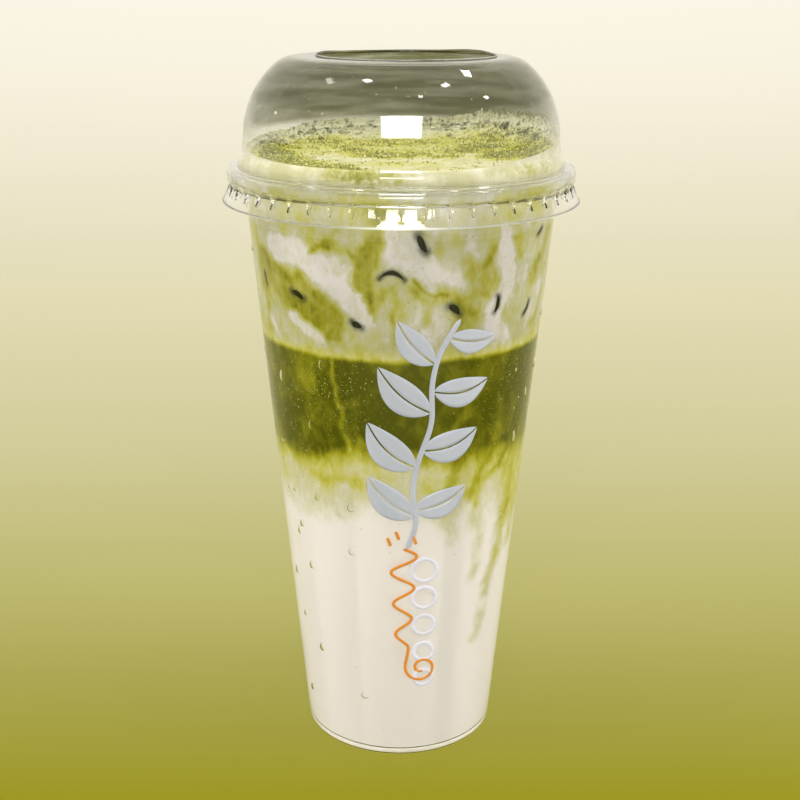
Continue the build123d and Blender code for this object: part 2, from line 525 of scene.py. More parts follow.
def flow_group():
    """Cloudy, drawn-out variation as of liquids that run into each other, about 0.5."""
    name = "Liquid flow"
    if name in bpy.data.node_groups:
        return bpy.data.node_groups[name]
    group, given, result = start_group(name, {"Size": 12 * MM, "Stretch": 0.45, "Twist": 1.0}, ("Flow",))
    place = add_node(group, "TexCoord").outputs["Object"]
    scale = math_node(group, "DIVIDE", 1.0, given["Size"])
    squeeze = add_node(group, "CombineXYZ", {"X": 1.0, "Y": 1.0, "Z": given["Stretch"]})
    drawn = add_node(group, "VectorMath", {0: place, 1: squeeze.outputs["Vector"]}, operation="MULTIPLY")
    noise = add_node(
        group, "TexNoise",
        {"Vector": drawn.outputs["Vector"], "Scale": scale, "Detail": 5.0, "Distortion": given["Twist"]},
    )
    group.links.new(noise.outputs["Fac"], result["Flow"])
    return group


def ripple_group():
    """The faint waviness of formed clear plastic, as a height."""
    name = "Formed plastic ripple"
    if name in bpy.data.node_groups:
        return bpy.data.node_groups[name]
    group, given, result = start_group(name, {"Size": 9 * MM, "Lines": 0.3}, ("Height",))
    place = add_node(group, "TexCoord").outputs["Object"]
    scale = math_node(group, "DIVIDE", 1.0, given["Size"])
    waves = add_node(group, "TexNoise", {"Vector": place, "Scale": scale, "Detail": 2.0})
    squeeze = add_node(group, "VectorMath", {0: place, 1: (0.15, 0.15, 6.0)}, operation="MULTIPLY")
    lines = add_node(group, "TexNoise", {"Vector": squeeze.outputs["Vector"], "Scale": scale, "Detail": 2.0})
    faint = math_node(group, "MULTIPLY", lines.outputs["Fac"], given["Lines"])
    total = math_node(group, "ADD", waves.outputs["Fac"], faint)
    group.links.new(total, result["Height"])
    return group


def place_group(tree, group, values=None):
    """A group in a material with its own values; returns its outputs."""
    node = tree.nodes.new("ShaderNodeGroup")
    node.node_tree = group
    for name, value in (values or {}).items():
        if isinstance(value, bpy.types.NodeSocket):
            tree.links.new(value, node.inputs[name])
        else:
            node.inputs[name].default_value = value
    return node.outputs


def add_bump(tree, shader, height, strength, distance):
    """Feeds a height to the shader's normal."""
    bump = add_node(tree, "Bump", {"Height": height, "Strength": strength, "Distance": distance})
    tree.links.new(bump.outputs["Normal"], shader.inputs["Normal"])


def mottled_material(name, size, twist, spread, shades, roughness):
    """A material whose colour drifts between two shades over the given size, and its shader."""
    material, shader = new_material(name)
    tree = material.node_tree
    flow = place_group(tree, flow_group(), {"Size": size, "Stretch": 1.0, "Twist": twist})["Flow"]
    colour = mix_colour(tree, mask(tree, flow, *spread), *shades)
    tree.links.new(colour, shader.inputs["Base Color"])
    shader.inputs["Roughness"].default_value = roughness
    return material, shader


def clear_plastic(name, tint, ior, roughness, ripple, lines):
    """Clear formed plastic with a faint ripple."""
    material, shader = new_material(name)
    tree = material.node_tree
    shader.inputs["Base Color"].default_value = (*tint, 1.0)
    shader.inputs["Transmission Weight"].default_value = 1.0
    shader.inputs["IOR"].default_value = ior
    shader.inputs["Roughness"].default_value = roughness
    height = place_group(tree, ripple_group(), {"Size": ripple, "Lines": lines})["Height"]
    add_bump(tree, shader, height, 0.12, 0.2 * MM)
    return material


def milk_and_tea_group():
    """Colour of milk and tea run together for an amount of tea, broken up by flow and specks."""
    name = "Milk and tea"
    if name in bpy.data.node_groups:
        return bpy.data.node_groups[name]
    colours = bpy.context.scene.latte_drink
    inputs = {"Tea": 0.0, "Shade": 0.0, "Specks": 0.1, "Mottle": 0.1}
    group, given, result = start_group(name, inputs, ("Height",))
    group.interface.new_socket("Color", in_out="OUTPUT", socket_type="NodeSocketColor")
    flow = place_group(group, flow_group(), {"Size": 9 * MM, "Stretch": 0.6, "Twist": 1.2})["Flow"]
    fine = place_group(group, flow_group(), {"Size": 2.2 * MM, "Stretch": 0.6, "Twist": 0.8})["Flow"]
    swing = math_node(group, "MULTIPLY", math_node(group, "SUBTRACT", flow, 0.5), 0.9)
    ripple = math_node(group, "MULTIPLY", math_node(group, "SUBTRACT", fine, 0.5), 0.75)
    edge = math_node(group, "MULTIPLY", given["Tea"], math_node(group, "SUBTRACT", 1.0, given["Tea"]))
    gate = math_node(group, "ADD", math_node(group, "MULTIPLY", edge, 2.0), given["Mottle"])
    change = math_node(group, "MULTIPLY", math_node(group, "ADD", swing, ripple), gate)
    total = math_node(group, "ADD", given["Tea"], change)
    colour = ramp(group, total, (
        (0.02, colours.milk),
        (0.16, colours.cream),
        (0.36, colours.pale),
        (0.62, colours.olive),
        (0.92, colours.tea),
    ))
    specks = place_group(
        group, specks_group(),
        {"Spacing": 0.9 * MM, "Share": given["Specks"], "Size": 0.14, "Softness": 0.14},
    )
    dots = mix_colour(group, specks["Shade"], (0.16, 0.13, 0.02), (0.46, 0.40, 0.09))
    strength = math_node(group, "MULTIPLY", specks["Mask"], 0.6)
    colour = mix_colour(group, strength, colour, dots)
    # Painted shade: the stored shade darkens the colour, for the halos round the dark spots and the grey of
    # ice in the marbled layer.
    colour = mix_colour(group, given["Shade"], colour, (0.034, 0.036, 0.026))
    group.links.new(colour, result["Color"])
    group.links.new(fine, result["Height"])
    return group


def drink_material(name, speck_share, mottle):
    """Milk and tea run together by the amount of tea stored on the mesh."""
    material, shader = new_material(name)
    tree = material.node_tree
    drink = place_group(
        tree, milk_and_tea_group(),
        {"Tea": stored(tree, "tea"), "Shade": stored(tree, "shade"), "Specks": speck_share, "Mottle": mottle},
    )
    tree.links.new(drink["Color"], shader.inputs["Base Color"])
    rough = add_node(tree, "MapRange", {"Value": drink["Height"], "To Min": 0.3, "To Max": 0.45})
    tree.links.new(rough.outputs["Result"], shader.inputs["Roughness"])
    shader.inputs["Specular IOR Level"].default_value = 0.0
    add_bump(tree, shader, drink["Height"], 0.1, 0.1 * MM)
    return material


# ---------------------------------------------------------------- the cup and its lid


def cup_outline(cup):
    """The cup's outline from the axis under its floor, over the rim and back to the axis inside."""
    foot_radius = inner_radius(0) + cup.wall
    curl_level = CUP_TOP - cup.curl
    curl_centre = inner_radius(curl_level) + cup.curl
    floor_top = MILK_LOW
    outline = [
        (0, cup.foot_height),
        (foot_radius - cup.foot_width - 6 * MM, cup.foot_height),
        (foot_radius - cup.foot_width, cup.foot_height),
        (foot_radius - cup.foot_width, 0),
        (foot_radius, 0),
    ]
    outline = rounded(outline + [(foot_radius + DRINK_TAPER * 8 * MM, 8 * MM)], 0.4 * MM, 3)
    for level in np.linspace(12 * MM, curl_level, 24):
        outline.append((inner_radius(level) + cup.wall, level))
    outline += arc(curl_centre, curl_level, cup.curl - cup.wall, 170, -70, 16)
    outline += arc(curl_centre, curl_level, cup.curl, -70, 180, 22)
    for level in np.linspace(curl_level, floor_top + 1 * MM, 24)[1:]:
        outline.append((inner_radius(level), level))
    outline.append((inner_radius(floor_top) - 0.6 * MM, floor_top))
    outline.append((inner_radius(floor_top) - 6 * MM, floor_top))
    outline.append((0, floor_top))
    return outline


def pale_foot(cup):
    """An opaque pale core in the foot ring: painted light, standing in for the milk's light that shows in the
    ring.
    """
    outside = inner_radius(0) + cup.wall
    low, high = 0.35 * MM, cup.foot_height + 0.1 * MM
    core = [
        (outside - 0.9 * MM, low),
        (outside - 0.30 * MM, low),
        (outside - 0.22 * MM, high),
        (outside - 1.1 * MM, high),
    ]
    radii, levels = np.array(rounded(core, 0.12 * MM, 2)).T
    points, faces = lathe(radii[::-1], levels[::-1], 180, closed=True)
    # Painted light: milk-coloured shades for the milk's light that shows in the foot ring.
    shades = ((0.90, 0.86, 0.80), (0.80, 0.77, 0.68))
    pale, _ = mottled_material("foot painted milk light", 6 * MM, 0.0, (0.3, 0.7), shades, 0.4)
    return mesh_object("pale_foot", points, faces, pale)


class LATTE_OT_cup(bpy.types.Operator):
    """Turn the clear cup, with its curled rim and a pale core of painted milk light in its foot ring"""

    bl_idname = "latte.cup"
    bl_label = "Cup"

    def execute(self, context):
        cup = context.scene.latte_cup
        outline = np.array(cup_outline(cup))
        points, faces = lathe(outline[:, 0], outline[:, 1], 256)
        plastic = clear_plastic("cup plastic", cup.tint, 1.5, 0.015, 14 * MM, 0.5)
        piece = mesh_object("clear_cup", points, faces, plastic)
        piece.visible_shadow = False
        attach(piece, BODY)
        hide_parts("cup")

        piece = pale_foot(cup)
        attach(piece, BODY)
        return {"FINISHED"}


def lid_levels(cup):
    """Named levels and radii of the lid's outside, from the frame and the cup's rim."""
    seat_gap, dome_height = 0.12 * MM, 29.4 * MM
    valley = CUP_TOP + seat_gap + cup.lid_wall
    curl_centre = RIM_RADIUS - cup.curl
    band = curl_centre - 0.35 * MM
    curl_level = CUP_TOP - cup.curl
    return {
        "top": valley + dome_height,
        "valley": valley,
        "crest": valley + 0.5 * MM,
        "shoulder": valley + 7.9 * MM,
        "band": band,
        "step": band - 0.9 * MM,
        "dome": band - 1.3 * MM,
        "ring": RIM_RADIUS + 0.65 * MM + cup.lid_wall,
        "ring_low": curl_level - 0.9 * MM,
        "neck": RIM_RADIUS + 0.25 * MM + cup.lid_wall,
        "neck_level": curl_level - 2.1 * MM,
        "skirt_level": curl_level - 6.8 * MM,
    }


def shoulder_radius(at):
    """Radius of the dome's side, an arc upright at the shoulder that meets the flat top's edge."""
    run, rise = at["dome"] - FLAT_RADIUS, at["top"] - at["shoulder"]
    return (run**2 + rise**2) / (2 * run)


def lid_outline(cup):
    """The lid's outside from the opening's lip down to the skirt's edge, as (r, z)."""
    at = lid_levels(cup)
    shoulder = shoulder_radius(at)
    centre = at["dome"] - shoulder
    corner = 8 * MM
    inner = shoulder - corner
    drop = at["top"] - corner - at["shoulder"]
    meet = math.degrees(math.asin(drop / inner))
    corner_r = centre + math.sqrt(inner**2 - drop**2)
    line = [
        (cup.opening, at["top"] + LIP_HEIGHT),
        (cup.opening + 0.25 * MM, at["top"] + LIP_HEIGHT / 2),
        (cup.opening + 0.9 * MM, at["top"]),
    ]
    line += [(r, at["top"]) for r in np.linspace(cup.opening + 1.6 * MM, corner_r - 0.6 * MM, 4)]
    line += arc(corner_r, at["top"] - corner, corner, 90, meet, 10)
    line += arc(centre, at["shoulder"], shoulder, meet, 0, 26)[1:]
    low = [
        (at["dome"], at["shoulder"]),
        (at["step"], at["valley"] + 3.9 * MM),
        (at["band"], at["valley"] + 2.6 * MM),
        (at["band"], at["valley"]),
        (at["band"] + 0.5 * MM, at["crest"]),
        (at["ring"] - 1.2 * MM, at["crest"]),
        (at["ring"], at["crest"] - 1.2 * MM),
        (at["ring"], at["ring_low"]),
        (at["neck"], at["neck_level"]),
    ]
    line += rounded(low, 0.6 * MM, 3)[1:]
    for share in np.linspace(0, 1, 9)[1:]:
        level = at["neck_level"] + share * (at["skirt_level"] - at["neck_level"])
        line.append((at["neck"] + share * (SKIRT_RADIUS - at["neck"]), level))
    return line


def drawn_to_ribs(angle, ribs):
    """Angles drawn together at each snap rib, so that its slit comes out sharp, and how far each
    angle then lies from its rib, as a share of a bay."""
    spread = (angle * ribs / 360 + 0.5) % 1.0 - 0.5
    closer = spread * (0.35 + 1.3 * np.abs(spread))
    return angle + (closer - spread) * 360 / ribs, closer


def pinch_depth(cup, spread, fall):
    """How far the skirt is pressed in: a slit at each rib, widest just under the ring and coming
    to a point below, and a faint hollow between two ribs."""
    half_width = 0.13 * np.clip(1.05 - fall, 0.0, 1.0)
    inside = np.clip(1 - np.abs(spread) / np.maximum(half_width, 1e-6), 0.0, 1.0)
    slit = cup.pinch * inside * smoothstep(-0.05, 0.18, fall) * (fall < 1)
    bay = 0.22 * MM * (1 - (2 * spread) ** 2) * smoothstep(-0.02, 0.25, fall)
    bay = bay * (1 - smoothstep(1.0, 1.5, fall))
    return slit + bay * 0.6


def lip_sag(cup, at, radius, angle, level):
    """How far the opening's lip hangs down: least in two places at the back."""
    lip = 1 - smoothstep(cup.opening, cup.opening + 1.1 * MM, radius)
    lip = lip * (level > at["top"] - 1.0 * MM)
    lobe = 0.55 * np.exp(-(((angle - 128) / 20) ** 2)) + 0.3 * np.exp(-(((angle + 112) / 16) ** 2))
    return lip * MM * np.minimum(lobe - 0.55 + 0.06 * np.sin(np.radians(3 * angle)), -0.03)


def painted_reflection_amount(at, depth, angle, level):
    """How much dark reflection is painted on the dome, in streaks: deepest at its back, clearing towards its
    front and its foot.
    """
    back = smoothstep(-26 * MM, 20 * MM, depth)
    front = 0.68 * smoothstep(at["shoulder"] + 4 * MM, at["shoulder"] + 14 * MM, level)
    behind = smoothstep(at["shoulder"] - 1 * MM, at["shoulder"] + 2.5 * MM, level)
    turn = np.radians(angle)
    around = np.stack([7 * MM * np.sin(turn), 7 * MM * np.cos(turn), level * 2.2], axis=-1)
    streaks = cloud(around, 3 * MM, 4)
    # Painted reflection: streaks of darker reflection laid over the amount.
    return (front * (1 - back) + behind * back) * (0.74 + 0.36 * smoothstep(0.3, 0.7, streaks))


def lid_material(cup):
    """Clear plastic with a dark painted reflection where the dome's value is stored, and frosted at its cut
    edges.
    """
    plastic = clear_plastic("lid plastic with painted reflection", cup.tint, 1.5, 0.02, 11 * MM, 0.8)
    tree = plastic.node_tree
    shader = tree.nodes["Principled BSDF"]
    # Painted reflection: the plastic darkens where the dome's value is stored.
    tint = mix_colour(tree, stored(tree, "dome"), tuple(cup.tint), tuple(cup.dome_reflection_tint))
    tree.links.new(tint, shader.inputs["Base Color"])
    rough = add_node(tree, "MapRange", {"Value": stored(tree, "trim"), "To Min": 0.02, "To Max": 0.42})
    tree.links.new(rough.outputs["Result"], shader.inputs["Roughness"])
    return plastic


class LATTE_OT_lid(bpy.types.Operator):
    """Form the clear dome lid, with its off-centre opening and pinched skirt"""

    bl_idname = "latte.lid"
    bl_label = "Lid"

    def execute(self, context):
        cup = context.scene.latte_cup
        at = lid_levels(cup)
        outline = sheet_outline(lid_outline(cup), cup.lid_wall)[::-1]
        sections_a_rib = 10
        points, faces = lathe(outline[:, 0], outline[:, 1], cup.ribs * sections_a_rib, closed=True)
        radius = np.hypot(points[:, 0], points[:, 1])
        angle, spread = drawn_to_ribs(round_the_cup(points), cup.ribs)
        level = points[:, 2].copy()

        # Down the skirt: 0 just above the neck, 1 where the pinches come to a point.
        fall = (at["neck_level"] + 0.9 * MM - level) / (3.2 * MM)
        scale = (radius - pinch_depth(cup, spread, fall)) / radius
        # The flat top slides sideways with its opening.
        shift = cup.opening_shift * (1 - smoothstep(cup.opening + 1.5 * MM, 31 * MM, radius))
        shift = shift * (level > at["top"] - 1.5 * MM)
        points[:, 0] = radius * np.sin(np.radians(angle)) * scale + shift
        points[:, 1] = -radius * np.cos(np.radians(angle)) * scale
        points[:, 2] = level + lip_sag(cup, at, radius, angle, level)

        piece = mesh_object("clear_lid", points, faces, lid_material(cup))
        ends = np.minimum(np.abs(level - at["skirt_level"]), np.abs(level - at["top"] - LIP_HEIGHT))
        add_values(piece, "trim", smoothstep(0.6 * MM, 0.2 * MM, ends))
        # How much dark reflection is painted on the dome at each point.
        add_values(piece, "dome", painted_reflection_amount(at, points[:, 1], angle, level))
        piece.visible_shadow = False
        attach(piece, BODY)
        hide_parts("lid")
        return {"FINISHED"}


# ---------------------------------------------------------------- the drink

# Swirls of tea in the milk: (amount, half width in mm, [(angle, level in mm), ...]). A negative
# amount is a streak of plain milk.
SWIRLS = (
    (0.50, 2.0, [(-9, 164), (-9, 159), (-9, 155)]),
    (0.62, 2.3, [(-9, 156), (-12, 152), (-14, 149)]),
    (0.60, 1.2, [(-14, 150), (-13, 146), (-11, 143), (-10, 139)]),
    (0.42, 1.0, [(-33, 153), (-27, 156), (-18, 155.5), (-15, 153)]),
    (0.36, 0.9, [(-22, 159), (-26, 156)]),
    (0.52, 1.7, [(-62, 150), (-47, 147), (-37, 145), (-30, 141.5), (-25, 136), (-24, 132)]),
    (0.34, 3.2, [(-57, 146), (-50, 142), (-40, 139), (-32, 136)]),
    (0.40, 1.8, [(-41, 137), (-33, 134.5), (-28, 131)]),
    (0.38, 2.2, [(-70, 156), (-65, 147), (-64, 138), (-62, 129)]),
    (0.34, 1.1, [(-6, 144), (-6.6, 141), (-8, 137)]),
    (0.26, 0.9, [(-3, 145), (-1, 141), (-1, 137)]),
    (0.30, 1.4, [(7, 144), (9, 141), (9, 137)]),
    (0.26, 1.5, [(13, 143), (19, 144), (24, 142), (27, 139), (25, 136), (21, 134)]),
    (0.22, 1.6, [(25, 150), (32, 151), (35, 154)]),
    (0.20, 1.4, [(30, 147), (32, 144)]),
    (0.42, 1.9, [(69, 157), (64, 151), (60, 145)]),
    (0.30, 1.4, [(71, 140), (62, 131)]),
    (0.40, 0.4, [(6, 147.5), (11, 145), (16, 144)]),
    (0.26, 1.1, [(45, 157), (49, 152)]),
    (-0.60, 2.4, [(-34, 151.5), (-27, 148.5), (-22, 145), (-16, 141), (-12, 137.5)]),
    (-0.35, 1.3, [(-50, 152.3), (-42, 152.4), (-33, 150.3)]),
    (-0.60, 1.7, [(-43, 135), (-38, 132), (-32, 129)]),
    (-0.35, 1.4, [(-61, 133), (-56, 129)]),
    (-0.60, 1.8, [(38, 159), (40, 155), (43, 149), (43, 145), (39, 140), (38, 135), (43, 130)]),
    (-0.30, 2.6, [(-2, 156), (8, 151), (20, 148)]),
    (-0.35, 1.8, [(-6, 159.5), (1, 157)]),
    (-0.30, 1.8, [(-53, 154.5), (-38, 155.5)]),
    (-0.30, 1.8, [(26, 156), (29, 152)]),
)

# Tea that has sunk into the milk below, in the same terms.
SUNK_TEA = (
    (0.25, 3.4, [(60, 98), (60, 90), (61, 82), (60, 74)]),
    (0.22, 2.8, [(61, 76), (58, 68), (56, 61)]),
    (0.20, 2.8, [(70, 96), (72, 84), (72, 76), (70, 66)]),
    (0.20, 2.2, [(56, 63), (51, 55), (49, 50)]),
    (0.13, 1.8, [(48, 44), (45, 36)]),
    (0.30, 1.5, [(25, 96), (24, 90), (23, 87)]),
    (0.46, 1.3, [(43, 95), (37, 91), (34, 88), (31, 84)]),
    (0.30, 1.2, [(53, 96), (49, 91), (37, 87.5), (35, 81)]),
    (0.17, 1.3, [(-45, 91), (-34, 89.5), (-19, 90)]),
    (0.16, 2.6, [(10, 88), (18, 82), (26, 72)]),
    (0.12, 1.8, [(36, 80), (42, 68), (40, 58)]),
)

# Paler lines and clouds in the tea layer.
TEA_WISPS = (
    (0.22, 0.8, [(-28, 126), (-26, 120), (-24.5, 112), (-23, 103), (-20.6, 99)]),
    (0.14, 1.5, [(22, 119), (27, 115), (26, 109), (22, 103)]),
    (0.12, 4.0, [(-45, 122), (-38, 112), (-44, 104)]),
    (0.10, 4.0, [(46, 104), (34, 101), (20, 100)]),
    (0.10, 3.0, [(-16, 101), (-8, 99)]),
)

# Dark spots that touch the wall, painted shade for the dark inside of the drink seen through gaps at the ice:
# (half width in mm, three (angle, level in mm) along each).
PAINTED_SHADE_SPOTS = (
    (1.0, (5.7, 159.8), (6.8, 157.6), (8.7, 155.3)),
    (0.65, (-7.6, 148.5), (-3.2, 150.1), (1.0, 148.1)),
    (1.0, (-44.4, 142.3), (-41.3, 141.8), (-38.5, 140.8)),
    (0.6, (-62.6, 145.4), (-62.1, 143.7), (-61.2, 141.9)),
    (0.95, (-18.2, 136.2), (-16.6, 135.6), (-14.6, 134.9)),
    (0.95, (17.7, 140.8), (19.7, 140.0), (21.8, 138.2)),
    (0.75, (38.2, 142.0), (38.6, 139.6), (37.0, 137.3)),
    (0.7, (57.8, 138.0), (56.6, 136.2), (54.4, 134.5)),
    (0.7, (61.9, 158.2), (60.4, 157.1), (58.5, 156.2)),
)


def stroke_reach(angle, level, path, half_width):
    """How much of a stroke lies at each point: 1 on its line, falling off over its half width."""
    along = np.radians(angle)
    nearest = np.full(len(angle), np.inf)
    for (a, low), (b, high) in zip(path, path[1:]):
        middle = math.radians((a + b) / 2)
        radius = inner_radius((low + high) / 2 * MM)
        turn = (along - middle + math.pi) % (2 * math.pi) - math.pi
        x, y = turn * radius / MM, level / MM
        x0, x1 = math.radians(a - b) / 2 * radius / MM, math.radians(b - a) / 2 * radius / MM
        dx, dy = x1 - x0, high - low
        share = np.clip(((x - x0) * dx + (y - low) * dy) / (dx * dx + dy * dy), 0, 1)
        nearest = np.minimum(nearest, np.hypot(x - x0 - share * dx, y - low - share * dy))
    return np.exp(-((nearest / half_width) ** 2))


def scattered_swirls(count):
    """More swirls for the sides and back, drifting down as they go."""
    draw = random.Random(5)
    swirls = []
    for _ in range(count):
        angle, level = draw.uniform(76, 284), draw.uniform(136, 160)
        path = [(angle, level)]
        drift = draw.uniform(-6, 6)
        for _ in range(3):
            angle += drift + draw.uniform(-4, 4)
            level -= draw.uniform(3, 7)
            path.append((angle, level))
        amount = draw.choice((0.8, 0.6, 0.45, -0.8, -0.6))
        swirls.append((amount, draw.uniform(1.6, 3.8), path))
    return swirls


def scattered_sunk_tea():
    """Strands of tea in the milk at the sides and back."""
    draw = random.Random(8)
    strand_count = 14
    strands = []
    for _ in range(strand_count):
        angle, level = draw.uniform(78, 282), draw.uniform(86, 94)
        path = [(angle, level)]
        for _ in range(3):
            angle += draw.uniform(-5, 5)
            level -= draw.uniform(4, 13)
            path.append((angle, level))
        strands.append((draw.uniform(0.2, 0.5), draw.uniform(1.4, 3.2), path))
    return strands


def tea_amount(points):
    """How much tea shows at each point of the drink's side: 0 is milk, 1 the tea layer."""
    drink = bpy.context.scene.latte_drink
    warp = cloud(points, 7 * MM) - 0.5
    lift = cloud(points + 0.31, 8 * MM) - 0.5
    angle = round_the_cup(points) + 9 * warp
    level = points[:, 2] + 4.5 * MM * lift
    true_level = points[:, 2]

    # The marbled layer is mostly pale, with swirls and streaks laid over it.
    above = 0.20 + 0.50 * (cloud(points, 10 * MM, 4) - 0.46)
    uneven = 0.55 + 0.9 * cloud(points + 0.17, 4 * MM)
    for amount, half_width, path in SWIRLS + tuple(scattered_swirls(drink.back_swirls)):
        above = above + 0.9 * amount * uneven * stroke_reach(angle, level, path, half_width * 1.25)
    above = np.clip(above, 0.04, 0.62)
    blend = smoothstep(MATCHA_TOP + 6 * MM, MATCHA_TOP, true_level + 3 * MM * warp)
    above = above * (1 - 0.75 * blend) + 0.75 * np.maximum(above, 0.38) * blend

    # The milk is plain, with strands of sunk tea and a haze where the two meet.
    strands = np.zeros(len(points))
    for amount, half_width, path in SUNK_TEA + tuple(scattered_sunk_tea()):
        strands = strands + amount * uneven * stroke_reach(angle, level, path, half_width * 1.2)
    meeting = MILK_TOP + 6.5 * MM + 2.0 * MM * np.cos(np.radians(2.4 * angle))
    haze = 0.24 * smoothstep(meeting - 24 * MM, meeting + 1 * MM, level)
    below = np.clip(strands + haze * (0.5 + cloud(points, 6 * MM)), 0.0, 0.6)

    # The tea layer: a crisp top, and a bottom that sags and drifts into the milk.
    sag = 8 * MM * (cloud(points * np.array([1, 1, 0.35]), 15 * MM) - 0.5)
    bottom = smoothstep(meeting - 3.5 * MM, meeting + 5.5 * MM, level + sag)
    body = 0.90 + 0.34 * (cloud(points, 11 * MM, 4) - 0.5)
    for amount, half_width, path in TEA_WISPS:
        body = body - amount * stroke_reach(angle, level, path, half_width)
    fray = 1.3 * MM * (cloud(points + 0.23, 5 * MM) - 0.5)
    top = smoothstep(MATCHA_TOP + 1.1 * MM, MATCHA_TOP - 0.9 * MM, true_level + fray)
    amount = below * (1 - bottom) + body * bottom
    return np.where(true_level > MATCHA_TOP - 3 * MM, amount * top + above * (1 - top), amount)


def shade_spot_places():
    """Every dark spot's half width and path, the seen ones and the scattered ones."""
    draw = random.Random(21)
    places = list(PAINTED_SHADE_SPOTS)
    count = bpy.context.scene.latte_drink.flecks
    for number in range(count):
        angle, level = 85 + (number + draw.uniform(0.1, 0.9)) * 190 / count, draw.uniform(133, 156)
        lean, reach = draw.uniform(-60, 60), draw.uniform(1.2, 2.6)
        turn, rise = reach * math.cos(math.radians(lean)) * 1.4, reach * math.sin(math.radians(lean))
        bow = draw.uniform(-0.8, 1.4)
        path = ((angle - turn, level - rise), (angle, level + bow), (angle + turn, level + rise))
        places.append((draw.uniform(0.6, 1.1), *path))
    return places


def bowed(path, steps=6):
    """A smooth bow through three (angle, level) places."""
    first, middle, last = (np.array(place) for place in path)
    bend = middle * 2 - (first + last) / 2
    shares = np.linspace(0, 1, steps + 1)
    return [tuple(first * (1 - s) ** 2 + bend * 2 * s * (1 - s) + last * s * s) for s in shares]


def painted_halo_and_ice_shade(points):
    """Painted shade: the soft dark halo round each dark spot, and the faint shade of ice behind the marbled
    layer.
    """
    angle, level = round_the_cup(points), points[:, 2]
    uneven = 0.6 + 0.8 * cloud(points, 2.0 * MM)
    # Painted shade over the marbled layer, uneven, for the grey of ice in the drink.
    ice = smoothstep(MATCHA_TOP, MATCHA_TOP + 4 * MM, level)
    ice = ice * smoothstep(MARBLED_TOP + 8 * MM, MARBLED_TOP, level)
    shade = ice * (0.12 + 0.24 * cloud(points + 0.11, 9 * MM))
    warp = 0.9 * (cloud(points + 0.05, 1.6 * MM) - 0.5)
    for half_width, *path in shade_spot_places():
        line = bowed(path)
        reach = stroke_reach(angle + warp, level + warp * MM, line, half_width * 1.45)
        haze = stroke_reach(angle + warp, level + warp * MM, line, half_width * 2.6)
        shade = np.maximum(shade, uneven * (0.7 * reach + 0.2 * haze))
    return np.clip(shade, 0, 0.9)


def drink_body(name, low, high, step, segments):
    """A closed turned body of drink between two levels that reaches just into the cup's wall."""
    levels = np.linspace(low, high, max(2, round((high - low) / step)) + 1)
    radii = [inner_radius(level) + WALL_REACH for level in levels]
    outline_r = [0, radii[0] * 0.5] + radii + [radii[-1] * 0.5, 0]
    outline_z = [low, low] + list(levels) + [high, high]
    points, faces = lathe(outline_r, outline_z, segments)
    piece = mesh_object(name, points, faces)
    add_values(piece, "tea", tea_amount(points))
    add_values(piece, "shade", painted_halo_and_ice_shade(points))
    return piece


class LATTE_OT_drink(bpy.types.Operator):
    """Fill the cup with milk, tea and the marbled layer, each reaching into the wall"""

    bl_idname = "latte.drink"
    bl_label = "Drink"

    def execute(self, context):
        # Piece, node, low and high level, height of a row, segments, share of specks, mottle.
        layers = (
            ("milk_body", "milk", MILK_LOW - 0.2 * MM, MILK_TOP, 0.7 * MM, 360, 0.02, 0.06),
            ("tea_body", "matcha", MILK_TOP, MATCHA_TOP, 0.5 * MM, 480, 0.06, 0.10),
            ("marbled_body", "marbled", MATCHA_TOP, MARBLED_TOP, 0.4 * MM, 600, 0.14, 0.24),
        )
        for name, node, low, high, step, segments, specks, mottle in layers:
            piece = drink_body(name, low, high, step, segments)
            piece.data.materials.append(drink_material(name, specks, mottle))
            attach(piece, BODY)
            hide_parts(node)
        return {"FINISHED"}


def shade_spot_shape(ball, number, half_width, path):
    """A ball drawn out along a bow at the wall, most of it sunk in the drink."""
    steps = 16
    middle = path[1]
    bow = np.array(bowed(path, steps))
    share = (ball[:, 2] + 1) / 2
    line = np.stack([np.interp(share * steps, np.arange(steps + 1), bow[:, i]) for i in (0, 1)], axis=-1)
    lumps = 1 + 1.1 * (cloud(ball * MM + number, 0.8 * MM, 2) - 0.5)
    heading = bow[-1] - bow[0]
    radius = inner_radius(middle[1] * MM)
    across_turn = math.radians(heading[0]) * radius / MM
    length = math.hypot(across_turn, heading[1])
    side = ball[:, 0] * lumps * half_width * 0.9
    turn = np.radians(line[:, 0] + np.degrees(side * MM * -heading[1] / length / radius))
    level = (line[:, 1] + side * across_turn / length) * MM
    out = inner_radius(level) + (0.13 + 0.10 * ball[:, 1]) * MM
    return np.stack([out * np.sin(turn), -out * np.cos(turn), level], axis=-1)


class LATTE_OT_shade_spots(bpy.types.Operator):
    """Set near-black spots at the wall under the marbled layer, painted shade for the dark inside of the
    drink seen through gaps at the ice
    """

    bl_idname = "latte.pearls"
    bl_label = "Shade spots"

    def execute(self, context):
        points, faces = [], []
        ball, ball_faces = unit_ball(4)
        for number, (half_width, *path) in enumerate(shade_spot_places()):
            start = len(points)
            points.extend(shade_spot_shape(ball, number, half_width, path))
            faces.extend(tuple(start + i for i in face) for face in ball_faces)
        # Near black: painted shade.
        shades = ((0.001, 0.0012, 0.0008), (0.010, 0.011, 0.006))
        dark, shader = mottled_material("painted shade spot", 3 * MM, 0.5, (0.35, 0.7), shades, 0.4)
        shader.inputs["Specular IOR Level"].default_value = 0.1
        piece = mesh_object("painted_shade_spots", points, faces, dark)
        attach(piece, BODY)
        return {"FINISHED"}


